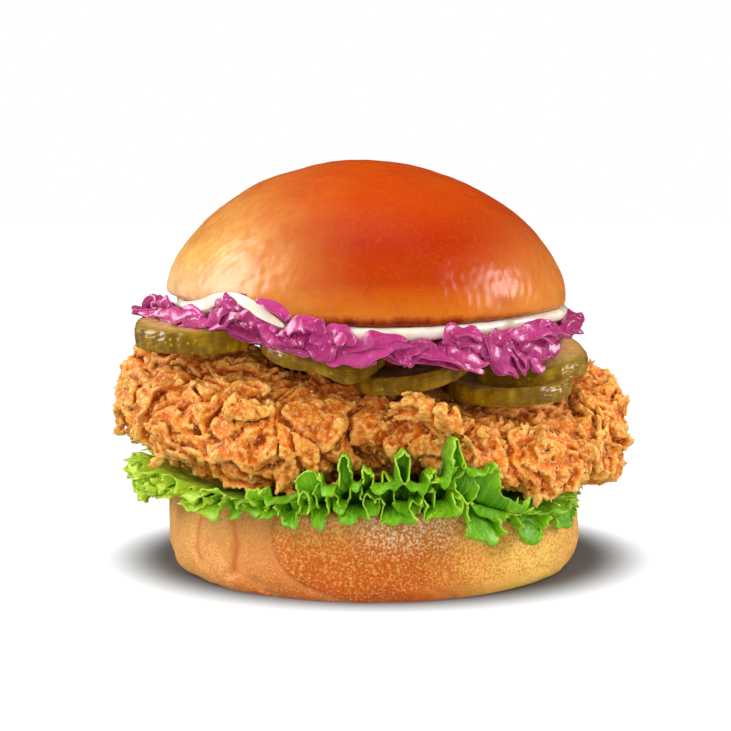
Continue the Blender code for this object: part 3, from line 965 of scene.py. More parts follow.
def surface_of(field):
    """(points, normals) of the field's outer surface, on a grid twice as coarse."""
    points, _ = surface_net(field[::2, ::2, ::2], LOW_CORNER, 2 * STEP)
    slope = [sampled(g, points) for g in np.gradient(field, STEP)]
    normals = unit(np.stack(slope, axis=1))
    seen = np.hypot(points[:, 0], points[:, 1]) > 30
    return points[seen], normals[seen]


def lie_of(spots, normals, rng, stray):
    """The way each flake's root runs: round the middle of its lobe, give or take a turn."""
    middles = np.array([lobe[:3] for lobe in LOBES])
    nearest = np.linalg.norm(spots[:, None] - middles, axis=2).argmin(axis=1)
    lie = unit(np.cross(normals, spots - middles[nearest]) + 1e-6)
    turn = rng.normal(0, stray, len(spots))[:, None]
    return unit(lie * np.cos(turn) + np.cross(normals, lie) * np.sin(turn))


def grow(field, spots, normals, lies, sizes, rng, seam):
    """Joins one curled sheet per spot to the field. sizes holds (half width, length, lift, thick).

    In a flake's own axes a (along its root), b (from root to tip) and c (off the meat), the sheet
    is c = lift * (b / length)^2 + cup * a^2, with the given thickness and an oval outline.
    """
    for spot, normal, lie, (wide, long, lift, thick) in zip(spots, normals, lies, sizes):
        reach = max(wide, long) + lift + 2
        low = np.maximum(((spot - reach - LOW_CORNER) / STEP).astype(int), 0)
        high = np.minimum(((spot + reach - LOW_CORNER) / STEP).astype(int) + 1, field.shape)
        window = tuple(slice(a, b) for a, b in zip(low, high))
        dx, dy, dz = GX[window] - spot[0], GY[window] - spot[1], GZ[window] - spot[2]
        tip = np.cross(normal, lie)
        a = dx * lie[0] + dy * lie[1] + dz * lie[2]
        b = dx * tip[0] + dy * tip[1] + dz * tip[2]
        c = dx * normal[0] + dy * normal[1] + dz * normal[2]
        cup = rng.uniform(-0.03, 0.06)
        run = np.clip(b / long, -0.6, 1.2)
        sheet = np.abs(c - lift * run * np.abs(run) - cup * a * a) - thick * (0.6 - 0.2 * run)
        edge = (np.sqrt((a / wide) ** 2 + (b / long) ** 2) - 1) * min(wide, long)
        flake = -soft_union(-sheet, -edge, 0.5)
        field[window] = soft_union(field[window], flake, seam)
    return field


for apart, seed, low, high in ((15.0, 62, (1.2, 1.6, 0.4, 0.7), (2.4, 2.8, 1.2, 0.9)),
                               (4.6, 63, (0.6, 0.8, 0.2, 0.6), (1.3, 1.6, 0.6, 0.9))):
    spots, normals = surface_of(crust)
    picked = sown(spots, apart, seed)
    spots, normals = spots[picked], normals[picked]
    sizes = np.array(low) + (np.array(high) - low) * rng.random((len(spots), 4))
    crust = grow(crust, spots, normals, lie_of(spots, normals, rng, 0.5), sizes, rng, 0.6)
    print("flakes:", len(picked))
crust += 0.1 * grid_noise(2.4, 71) - 0.22 * np.abs(grid_noise(1.9, 72)) + 0.11

# %% Crust pieces
# How open the surface is round each point, at two sizes: low in crevices, high on tips. The crust's
# colour uses it for painted shade in the crevices and painted light on the tips.
open_wide = blurred(np.clip(crust, -1, 1), 2.4)
open_fine = blurred(np.clip(crust, -1, 1), 0.8)
slopes = np.gradient(crust, STEP)
CORE_REACH, SECTORS = 28.0, 9


def fry_crust():
    n = Nodes("fry_crust")
    wide, fine = n.attribute("open_wide"), n.attribute("open_fine")
    # Darker in fine crevices and lighter on the tips: painted shade and painted light, over the
    # breading's own orange.
    base = n.ramp(n.between(fine, -0.38, 0.34), (0.0, linear(140, 58, 4)),
                  (0.3, linear(208, 100, 14)), (0.6, linear(236, 140, 36)),
                  (1.0, linear(254, 196, 96)))
    zone = n.effect(PATCHES, Size=13, Low=0.35, High=0.68)
    base = n.mix(n.math("MULTIPLY", zone, 0.4), base, linear(226, 108, 10))
    glow = n.effect(PATCHES, Size=5, Low=0.5, High=0.75)
    base = n.mix(n.math("MULTIPLY", glow, 0.4), base, linear(250, 184, 84))
    # Painted shade in the deep cracks between the folds.
    crack = n.between(wide, -0.05, -0.4)
    base = n.mix(n.math("MULTIPLY", crack, 0.7), base, linear(134, 52, 3))
    pebble = n.noise(0.95, 2.5, 0.6, 0.3)
    base = n.mix(n.math("MULTIPLY", n.between(pebble, 0.52, 0.64), 0.45), base,
                 linear(255, 222, 150))
    base = n.mix(n.math("MULTIPLY", n.between(pebble, 0.47, 0.34), 0.5), base,
                 linear(204, 88, 6))
    pores = n.effect(FLECKS, n.spread((1, 1, 1), (0, 0.4, 0)), Spacing=1.5, Size=0.17, Cluster=5,
                     Cover=0.6)
    base = n.mix(n.math("MULTIPLY", pores, 0.6), base, linear(140, 56, 6))
    pepper = n.effect(FLECKS, Spacing=2.2, Size=0.13, Cluster=7, Cover=0.5)
    base = n.mix(pepper, base, linear(62, 24, 6))
    flour = n.effect(FLECKS, n.spread((1, 1, 1), (0.5, 0, 0)), Spacing=2.2, Size=0.13,
                     Cluster=9, Cover=0.5)
    base = n.mix(flour, base, linear(255, 238, 200))
    crumb = n.bump(pebble, 0.6, n.effect(GRAIN, Size=0.45, Depth=0.09))
    return n.finish(base, n.between(pebble, 0.3, 0.7, 0.55, 0.4), crumb, Specular_IOR_Level=0.25,
                    Subsurface_Weight=0.08, Subsurface_Radius=(0.003, 0.0012, 0.0005),
                    Subsurface_Scale=0.35)


crust_look = fry_crust()


def sector(number, start, end):
    """The crust between two angles, closed by cuts inside the fillet, as one piece."""
    wander = 1.2 * np.sin(GZ / 3.1) + 0.8 * np.sin(GZ / 1.7 + 1)
    from_start = GX * math.sin(start) - GY * math.cos(start) + wander
    from_end = GY * math.cos(end) - GX * math.sin(end) - wander
    cut = np.maximum(np.maximum(crust, CORE_REACH - np.hypot(GX, GY)),
                     np.maximum(from_start, from_end) - 0.12)
    points, quads = surface_net(cut, LOW_CORNER, STEP)
    made = piece(f"fillet_crust_{number}", points, quads, "fillet", crust_look,
                 {"open_wide": sampled(open_wide, points), "open_fine": sampled(open_fine, points)})
    normals = unit(np.stack([sampled(g, points) for g in slopes], axis=1))
    made.data.normals_split_custom_set_from_vertices(normals)
    return made


angles = np.arctan2(*surface_of(crust)[0][:, 1::-1].T)
borders = np.quantile(np.mod(angles, math.tau), np.linspace(0, 1, SECTORS + 1))
borders[0], borders[-1] = 0, math.tau
for number, (start, end) in enumerate(zip(borders, borders[1:]), 1):
    sector(number, start, end)


# %% [markdown]
# ## Lettuce: a sheet that is longer at its rim than at its middle
#
# A curly leaf's rim grows faster than the rest, so it can't lie flat: it swings up and down in
# folds that overhang like the bends of a river. Two leaves lie on the heel. Each is a grid, round
# the burger by out to the rim: the troughs and crests at the front stand where the real ones do,
# and the rest are drawn at random. It is built as a thin closed sheet with toothed edges.

# %% Leaf rims
LEAF_REACH = (55, 56, 56, 57, 58, 57, 58, 60, 61, 61, 64, 65, 62, 60, 61, 62, 59, 56)
LEAF_START, LEAF_THICK = 42.0, 0.5  # mm from the middle, and mm
UPPER_RIM = (  # (degrees round, height in mm) of troughs and crests in turn, from a trough
    (-152, 27), (-147, 30), (-142.5, 25), (-138, 31), (-133, 24), (-125, 29),
    (-120, 24.5), (-115, 30), (-111, 25), (-103, 34), (-99, 27), (-95.5, 37.5),
    (-93, 28.5), (-91, 34.5), (-87, 27.5), (-82.5, 39), (-79.5, 28), (-76.5, 34),
    (-74, 29.5), (-71, 41.5), (-67, 31), (-62, 35), (-56.5, 24), (-51.5, 26),
    (-42.5, 19.5), (-28.5, 22.4))
LOWER_RIM = (  # the same, from a crest
    (-150, 29), (-146, 23.5), (-141.5, 27), (-129.5, 20), (-122, 27.5), (-117, 21.5),
    (-113, 26), (-107.5, 20), (-105, 28), (-102, 19.5), (-98.5, 29), (-95, 20.5),
    (-89, 28.5), (-84.5, 20), (-79, 27), (-74.5, 22.5), (-70.5, 29), (-64, 14.5),
    (-56.5, 23), (-49.5, 13.5), (-42.5, 20.5), (-33.5, 14), (-23, 20.9))

MIDDLE_RIM = (  # the same, from a trough
    (-151, 21.5), (-148.5, 27), (-144, 23), (-136, 27), (-131.5, 22), (-127, 27), (-122.5, 20.5),
    (-118, 27), (-113.5, 21.5), (-109.5, 28), (-105.5, 22), (-100.5, 31), (-97, 22.5),
    (-93.5, 31), (-90, 22), (-86.5, 33), (-81, 21), (-77, 30), (-73, 21.5), (-68.5, 34),
    (-61, 20), (-54.5, 27), (-47.5, 16.5), (-38.5, 22.5), (-31, 15.5), (-25.5, 22))


def rim_of(front, starts_low, mean, swing, seed):
    """(angle in radians, height, is a crest) of every turning point of a leaf's rim."""
    rng = np.random.default_rng(seed)
    start, end = front[-1][0], front[0][0] + 360
    count = int(round((end - start) / 7.5))
    count += (count + len(front)) % 2 == 0
    steps = rng.uniform(0.7, 1.3, count)
    steps = start + np.cumsum(steps / steps.sum())[:-1] * (end - start)
    crest = (np.arange(len(front) + len(steps)) + (0 if starts_low else 1)) % 2 == 1
    more = mean + np.where(crest[len(front):], 1, -1) * rng.uniform(*swing, len(steps))
    angle = np.radians(np.concatenate([[f[0] for f in front], steps]))
    return angle, np.concatenate([[f[1] for f in front], more]), crest


def along_rim(angle, where, values):
    """Values at turning points, carried round the circle between them."""
    where = np.concatenate([where - math.tau, where, where + math.tau])
    return np.interp(angle, where, np.tile(values, 3))


# %% Leaf surface


def leaf_surface(rim, grow_out, seed, turns=1800, steps=22):
    """Closed sheet over angle a and share t of the way out.

    With phase p(a) passing pi at every turning point, the rim stands at mean + swing * cos(p).
    A crest rises slowly and leans back; a trough reaches out first and then hangs down, so that
    its face looks outwards. Pushing the sheet sideways by wavelength * (k sin(2p) - m sin(p))
    makes the folds overhang and the crests narrower than the troughs.
    """
    turn, heights, crest = rim
    order = np.arange(len(turn))
    a = np.linspace(turn[0], turn[0] + math.tau, turns, endpoint=False)
    phase = np.interp(a, np.append(turn, turn[0] + math.tau), np.append(order, len(turn)))
    phase = phase + (0 if crest[0] else 1)
    wide = np.concatenate([phase[-14:] - len(turn), phase, phase[:14] + len(turn)])
    soft = np.hanning(31)[1:-1]
    phase = np.convolve(wide, soft / soft.sum(), "valid")[:turns] * math.pi
    high = along_rim(a, turn[crest], heights[crest])
    low = along_rim(a, turn[~crest], heights[~crest])
    mean, swing = (high + low) / 2, (high - low) / 2
    reach = around(LEAF_REACH, a) + grow_out
    wave = math.tau * reach / np.abs(np.gradient(phase, a))
    ring = np.stack([np.cos(a), np.sin(a)], axis=-1)
    t = (np.linspace(0, 1, steps) ** 0.8)[:, None]
    crested = (1 + np.cos(phase)) / 2
    grown, late = smoothstep(0.3, 1.0, t), smoothstep(0.5, 1.0, t)
    loose = smoothstep(0.62, 1.0, t)
    path = crested * t + (1 - crested) * np.sin(np.minimum(t * 1.12, 1) * math.pi / 2)
    far = LEAF_START + (reach - LEAF_START) * path
    far = far - (1.4 * np.cos(phase) + 0.4) * grown + 1.1 * waves(ring * 40, 9, seed + 1) * grown
    frill = 3.1 * phase + 1.8 * waves(ring * 9, 7, seed)
    ruffle = 6.3 * phase + 2.5 * waves(ring * 9, 5, seed + 7)
    far = far + (0.7 * np.cos(frill) + 0.45 * np.cos(ruffle)) * loose
    start = HEEL_HEIGHT + 1.6
    z = start + (mean - start) * smoothstep(0.15, 0.75, t)
    z = z + swing * np.cos(phase) * (crested * grown**1.1 + (1 - crested) * late)
    z = z + (0.7 * np.sin(frill) + 0.5 * np.sin(ruffle)) * loose
    z = z + 0.5 * waves(ring * 50, 5, seed + 2) * grown
    curl = smoothstep(0.84, 1.0, t)
    far = far + 1.1 * curl * np.cos(phase)
    z = z - 1.0 * np.cos(phase) * curl
    skew = 0.055 + 0.05 * waves(ring * 30, 14, seed + 5)
    side = (0.1 + 0.03 * waves(ring * 30, 12, seed + 3)) * np.sin(2 * phase) - skew * np.sin(phase)
    side = side * wave * grown + 0.3 * np.sin(frill * 1.3 + 1) * loose
    turned = a + side / np.maximum(far, 40)
    points = np.stack([far * np.cos(turned), far * np.sin(turned), z], axis=-1)
    length = np.linalg.norm(np.diff(points[-1], axis=0, append=points[-1][:1]), axis=1).cumsum()
    saw = np.abs(np.mod(length / 2.7 + 0.9 * waves(ring * 60, 6, seed + 4), 1) - 0.35)
    tooth = 0.2 + 3.0 * saw * np.clip(0.9 + 0.7 * waves(ring * 60, 4, seed + 6), 0.1, 1.7)
    way = unit(points[-1] - points[-4])
    for row, share in ((-3, 0.12), (-2, 0.42), (-1, 1.0)):
        points[row] += way * (share * tooth)[:, None]
    return points


def kept_clear(points):
    """The sheet's points moved down out of the crust and up off the heel, and out past its wall."""
    flat = points.reshape(-1, 3)
    for _ in range(4):
        inside = ((flat > LOW_CORNER + 2) & (flat < HIGH_CORNER - 3)).all(axis=1)
        deep = np.full(len(flat), 9.0)
        deep[inside] = sampled(meat, flat[inside])
        push = np.clip(INSET + 1.1 - deep, 0, 3)
        moved = np.flatnonzero(push > 0)
        way = unit(np.stack([sampled(g, flat[moved]) for g in meat_slopes], axis=1))
        way = unit(way * (1, 1, 0.7) + (0, 0, -0.4))
        flat[moved] += way * push[moved, None] * 0.8
        far = np.hypot(flat[:, 0] - HEEL_X, flat[:, 1])
        floor_z = HEEL_HEIGHT + 0.75 - 16 * smoothstep(54.6, 56.6, far)
        flat[:, 2] = floor_z + np.logaddexp(0, (flat[:, 2] - floor_z) * 3) / 3
    return flat.reshape(points.shape)


meat_slopes = [np.asarray(g, np.float32) for g in np.gradient(meat, STEP)]


def leaf_sheet(name, rim, grow_out, seed):
    middle = kept_clear(leaf_surface(rim, grow_out, seed))
    across = np.roll(middle, -1, axis=1) - np.roll(middle, 1, axis=1)
    outward = np.gradient(middle, axis=0)
    normal = unit(np.cross(outward, across))
    normal *= np.sign(normal[..., 2:].mean()) if normal[..., 2].mean() < 0 else 1
    steps, turns = middle.shape[:2]
    t = np.linspace(0, 1, steps)[:, None, None]
    half = LEAF_THICK / 2 * (1.25 - 0.6 * t)
    both = np.concatenate([middle + normal * half, (middle - normal * half)[::-1]])
    length = np.linalg.norm(np.diff(middle[-4], axis=0, append=middle[-4][:1]), axis=1).cumsum()
    share = np.concatenate([t[:, 0, 0], t[::-1, 0, 0]])[:, None] + np.zeros(turns)
    faces = band_faces(2 * steps, turns, closed_rows=True)[:, ::-1]
    return piece(name, both.reshape(-1, 3), faces, "lettuce", leaf_look,
                 {"out": share, "along": length[None, :] + np.zeros((2 * steps, 1))})


# %% [markdown]
# ### Leaf material
#
# The rim is thin and yellow-green, the folds are a clear green, and the sheet darkens towards its
# middle, under the fillet: painted shade. Veins branch outwards: a cell pattern stretched from the
# middle to the rim, in the leaf's own directions.

# %% Leaf material


def leaf_green():
    n = Nodes("leaf_green")
    out, along = n.attribute("out"), n.attribute("along")
    spread = n.add("ShaderNodeCombineXYZ")
    n.feed(spread.inputs[0], n.math("MULTIPLY", along, MM))
    n.feed(spread.inputs[1], n.math("MULTIPLY", out, 0.008))
    # Dark near the middle, under the fillet, and lighter towards the rim: painted shade over the
    # leaf's own greens.
    base = n.ramp(out, (0.0, linear(30, 70, 0)), (0.5, linear(74, 140, 2)),
                  (0.75, linear(118, 182, 8)), (1.0, linear(146, 204, 18)))
    base = n.mix(n.math("MULTIPLY", n.effect(PATCHES, Size=8, Low=0.42, High=0.62), 0.5), base,
                 linear(66, 136, 1))
    base = n.mix(n.math("MULTIPLY", n.height(-22, -52, "X"), 0.85), base, linear(206, 234, 62))
    veins = n.cells(3.0, spread.outputs[0], "DISTANCE_TO_EDGE")
    vein = n.between(veins, 0.14, 0.0)
    base = n.mix(n.math("MULTIPLY", vein, 0.3), base, linear(160, 208, 56))
    rim = n.between(out, 0.96, 0.995)
    base = n.mix(n.math("MULTIPLY", rim, 0.65), base, linear(184, 222, 70))
    crumple = n.bump(n.noise(2.4, 3, 0.55), 0.55)
    ribs = n.bump(vein, 0.1, crumple)
    return n.finish(base, n.between(n.noise(6), 0.35, 0.65, 0.4, 0.52), ribs, Coat_Weight=0.15,
                    Coat_Roughness=0.25, Specular_IOR_Level=0.3, Subsurface_Weight=0.3,
                    Subsurface_Radius=(0.001, 0.002, 0.0003), Subsurface_Scale=0.6)


leaf_look = leaf_green()
leaf_sheet("leaf_upper", rim_of(UPPER_RIM, True, 26.5, (2.5, 5.0), 101), 0.0, 111)
leaf_sheet("leaf_lower", rim_of(LOWER_RIM, False, 22.5, (2.5, 5.5), 102), -0.8, 121)
leaf_sheet("leaf_middle", rim_of(MIDDLE_RIM, True, 24.5, (2.0, 5.0), 103), -2.2, 131)


# %% [markdown]
# ## Pickle slices: limp wet discs
#
# A slice is a short cylinder with a tough skin round a watery middle. Each lies bent over whatever
# is below it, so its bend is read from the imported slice: the smooth cubic surface in plan that runs
# nearest to all that slice's points. The round is then laid on that bend.

# %% Pickle surfaces
SLICES = (  # middle, size, thickness in mm, (raised, right end up, front down, right half down)
    (34.5, -28.5, 0.95, 4.6, (-0.5, 0, 1.6, 0)), (11.0, -34.5, 0.92, 4.5, (-0.2, 3.8, 0, 0)),
    (39.8, -19.5, 0.92, 4.4, (0.2, -0.5, 4.0, 0)), (-11.5, -37.0, 0.95, 4.4, (2.6, 0, 0, 4.3)),
    (-42.8, -29.0, 0.93, 5.7, (2.5, 0.9, 0, 0)), (41.0, 12.5, 0.97, 4.6, (0.4, 0, 0, 0)),
    (6.0, 33.0, 1.05, 4.6, (0.4, 0, 0, 0)), (-29.0, 23.0, 1.00, 4.6, (0.4, 0, 0, 0)))
SLICE_RADIUS = 16.2


def cad_points(node):
    """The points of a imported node, in mm."""
    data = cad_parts[node].data
    points = np.empty(len(data.vertices) * 3, np.float32)
    data.vertices.foreach_get("co", points)
    return points.reshape(-1, 3).astype(float) / MM


def cubic_terms(x, y):
    return np.stack([x**i * y**j for i in range(4) for j in range(4 - i)], axis=-1)


def slice_surface(node, cx, cy, size, thick, moved, turns=192):
    """Height = bend(x, y) + profile(v): cut faces dished a little, and a skin that bulges."""
    packed = cad_points(node)
    spread = (packed[:, :2] - (cx, cy)) / SLICE_RADIUS
    bend = np.linalg.lstsq(cubic_terms(*spread.T), packed[:, 2], rcond=None)[0]
    radius, half, corner = size * SLICE_RADIUS - 0.2, thick / 2 - 0.1, 0.75
    arc = np.radians(np.linspace(0, 90, 6))
    face = np.linspace(0, 1, 22)[:-1] * (radius - corner)
    wall = np.linspace(1, -1, 13)[1:-1] * (half - corner)
    out = np.concatenate([face, radius - corner + corner * np.sin(arc), radius + 0 * wall,
                          radius - corner + corner * np.sin(arc[::-1]), face[::-1]])
    up = np.concatenate([half + 0 * face, half - corner + corner * np.cos(arc), wall,
                         -half + corner - corner * np.cos(arc[::-1]), -half + 0 * face])
    on_wall = np.concatenate([0 * face, np.sin(arc) ** 2, 1 + 0 * wall, np.sin(arc[::-1]) ** 2,
                              0 * face])
    u = np.linspace(0, math.tau, turns, endpoint=False)[None, :]
    out, up, on_wall = out[:, None], up[:, None], on_wall[:, None]
    seed = int(abs(cx * 10)) + 7
    ring = np.stack([np.cos(u) + 0 * out, np.sin(u) + 0 * out, up / 4 + 0 * u], axis=-1)
    rough = 0.10 * waves(ring * 16, 3.0, seed) + 0.3 * waves(ring[..., :2] * 16, 22, seed + 1)
    scallop = (0.1 * np.cos(26 * u + seed) + 0.12 * np.cos(17 * u + 2 * seed)) * on_wall
    bulge = 0.35 * on_wall * (1 - (up / half) ** 2)
    far = out + (rough * (out / radius) ** 3) + scallop + bulge
    x, y = cx + far * np.cos(u), cy + far * np.sin(u)
    dish = 0.32 * smoothstep(0.86, 0.6, out / radius) * np.sign(up)
    flesh = 0.07 * waves(np.stack([x, y], axis=-1), 2.6, seed + 2) * (1 - on_wall)
    z = cubic_terms((x - cx) / SLICE_RADIUS, (y - cy) / SLICE_RADIUS) @ bend + up - dish + flesh
    across, back = (x - cx) / SLICE_RADIUS, (y - cy) / SLICE_RADIUS
    raised, right_up, front_down, step_down = moved
    step = smoothstep(-0.2, 0.5, across)
    z = z + raised + right_up * across + front_down * back - step_down * step
    points = np.stack([x, y, z], axis=-1)
    return points[::-1], (np.minimum(out / radius, 1) + 0 * u)[::-1], (on_wall + 0 * u)[::-1]


# %% Pickle material


def pickle_look():
    n = Nodes("pickle_wet")
    out, side = n.attribute("out"), n.attribute("skin")
    flesh = n.ramp(out, (0.0, linear(222, 182, 132)), (0.45, linear(228, 190, 140)),
                   (0.62, linear(204, 162, 98)), (0.86, linear(194, 160, 82)),
                   (0.96, linear(138, 120, 20)))
    warm = n.effect(PATCHES, Size=8, Low=0.42, High=0.66)
    flesh = n.mix(n.math("MULTIPLY", warm, 0.5), flesh, linear(196, 122, 74))
    seeds = n.math("MULTIPLY", n.between(n.cells(3.2), 0.3, 0.2), n.between(out, 0.62, 0.5))
    flesh = n.mix(n.math("MULTIPLY", seeds, 0.6), flesh, linear(232, 204, 140))
    skin = n.mix(n.between(n.noise(5, 3, 0.6), 0.4, 0.65), linear(126, 92, 2),
                 linear(168, 130, 8))
    stripe = n.between(n.noise(2.2, 2, 0.5, 0, n.spread((1, 1, 0.12))), 0.4, 0.66)
    skin = n.mix(n.math("MULTIPLY", stripe, 0.5), skin, linear(104, 66, 4))
    speck = n.effect(FLECKS, Spacing=0.85, Size=0.3, Cluster=4, Cover=0.45)
    skin = n.mix(n.math("MULTIPLY", speck, 0.75), skin, linear(50, 30, 2))
    gold = n.effect(FLECKS, n.spread((1, 1, 1), (0.3, 0, 0)), Spacing=1.5, Size=0.3, Cluster=6,
                    Cover=0.48)
    skin = n.mix(n.math("MULTIPLY", gold, 0.6), skin, linear(206, 176, 30))
    base = n.mix(n.between(side, 0.25, 0.75), flesh, skin)
    beads = n.bump(n.math("MULTIPLY", n.noise(0.9, 2, 0.6), n.math("SUBTRACT", 1.0, side)), 0.3)
    drops = n.bump(n.noise(3.5, 2, 0.5, 0.4), 0.16, beads)
    return n.finish(base, n.between(n.noise(3), 0.35, 0.65, 0.34, 0.5), drops, Coat_Weight=0.5,
                    Coat_Roughness=0.1, Specular_IOR_Level=0.2, Subsurface_Weight=0.12,
                    Subsurface_Radius=(0.003, 0.002, 0.0006), Subsurface_Scale=0.4)


wet_pickle = pickle_look()
for number, shape in enumerate(SLICES, 1):
    surface, out, side = slice_surface(f"pickle_{number}", *shape)
    points, faces, used = closed_turning(surface)
    piece(f"pickle_slice_{number}", points, without_doubles(faces), f"pickle_{number}",
          wet_pickle, {"out": out.ravel()[used], "skin": side.ravel()[used]})


# %% [markdown]
# ## Slaw: strips of red cabbage
#
# Shredded cabbage is a heap of thick glossy ribbons, cut square or torn to a point, that bend round
# each other. A ribbon is a smooth path with an oval section carried along it: the section is turned
# so that its flat side faces out, and it twists, narrows and ripples on the way. The strips at the
# front follow the real ones; the rest are drawn at random round the heap and over a lumpy core.

# %% Ribbons
LINKS, SIDES = 26, 12


def smooth_path(knots, count):
    """Points along a cubic through the knots (k, 3), evenly spaced in the knots' own count."""
    knots = np.asarray(knots, float)
    knots = np.concatenate([2 * knots[:1] - knots[1:2], knots, 2 * knots[-1:] - knots[-2:-1]])
    place = np.linspace(0, len(knots) - 3 - 1e-6, count)
    i = place.astype(int)
    t = (place - i)[:, None]
    a, b, c, d = (knots[i + k] for k in range(4))
    return b + 0.5 * t * (c - a + t * (2 * a - 5 * b + 4 * c - d + t * (3 * (b - c) + d - a)))


def ribbon(knots, wide, thick, face, twist, rng):
    """Closed ribbon: centre(s) + wide(s) * cos(v) along one way and thick * sin(v) along the other."""
    s = np.linspace(0, 1, LINKS)
    path = smooth_path(knots, LINKS)
    ahead = unit(np.gradient(path, axis=0))
    flat = unit(face - ahead * (face * ahead).sum(axis=1, keepdims=True))
    turn = (twist * (s - 0.5) + 0.25 * np.sin(s * rng.uniform(4, 9) + rng.uniform(0, 6)))[:, None]
    up = flat * np.cos(turn) + np.cross(ahead, flat) * np.sin(turn)
    across = np.cross(ahead, up)
    blunt = rng.uniform(0.45, 0.95, 2)
    taper = (blunt[0] + (1 - blunt[0]) * smoothstep(0, 0.3, s)) * (
        blunt[1] + (1 - blunt[1]) * smoothstep(1, 0.65, s))
    taper = taper * (1 + 0.12 * np.sin(s * rng.uniform(8, 16) + rng.uniform(0, 6)))
    ends = np.minimum(1, np.minimum(s, 1 - s) * LINKS / 1.2) ** 0.4
    v = np.linspace(0, math.tau, SIDES, endpoint=False)
    across_share = np.sign(np.cos(v)) * np.abs(np.cos(v)) ** 0.6
    up_share = np.sign(np.sin(v)) * np.abs(np.sin(v)) ** 0.4
    wide = np.interp(s, np.linspace(0, 1, np.size(wide)), np.atleast_1d(wide))[:, None]
    u = wide * (taper * ends)[:, None] * across_share
    cup = rng.uniform(-0.45, 0.6) * wide * np.abs(u / wide) ** 1.3
    ripple = 0.22 * wide * np.sin(s * rng.uniform(9, 15) + rng.uniform(0, 6))[:, None] * (u / wide)
    h = (thick * ends)[:, None] * up_share + cup + ripple
    return path[:, None] + across[:, None] * u[..., None] + up[:, None] * h[..., None]


def strip_faces(count):
    """Quads and the end caps' triangles of count ribbons, all as triangles."""
    quads = band_faces(LINKS, SIDES)
    body = np.concatenate([quads[:, [0, 1, 2]], quads[:, [0, 2, 3]]])
    k = np.arange(1, SIDES - 1)
    first = np.stack([0 * k, k + 1, k], axis=1)
    last = (LINKS - 1) * SIDES + np.stack([0 * k, k, k + 1], axis=1)
    one = np.concatenate([body, first, last])[:, ::-1]
    return (one + LINKS * SIDES * np.arange(count)[:, None, None]).reshape(-1, 3)


# %% Where the slaw's top and underside are


def skin_heights(node):
    """A function of (x, y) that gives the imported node's (underside, top) near there, in mm."""
    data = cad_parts[node].data
    places = cad_points(node)
    normals = np.empty(len(data.vertices) * 3, np.float32)
    data.vertices.foreach_get("normal", normals)
    up = normals.reshape(-1, 3)[:, 2]

    def read(x, y):
        found = []
        for side in (places[up < -0.3], places[up > 0.3]):
            away = (side[:, 0] - np.ravel(x)[:, None]) ** 2 + (side[:, 1] - np.ravel(y)[:, None]) ** 2
            weight = 1 / (away + 1.0) ** 2
            found.append(((weight * side[:, 2]).sum(axis=1) / weight.sum(axis=1)).reshape(np.shape(x)))
        return found

    return read


def slaw_reach(angle):
    lumps = 1.6 * np.sin(7 * angle + 1) + 1.1 * np.sin(13 * angle + 0.4)
    return 54.5 + lumps + 6.0 * bell(angle_apart(angle, -2.75), 0.35)


slaw_heights = skin_heights("slaw")

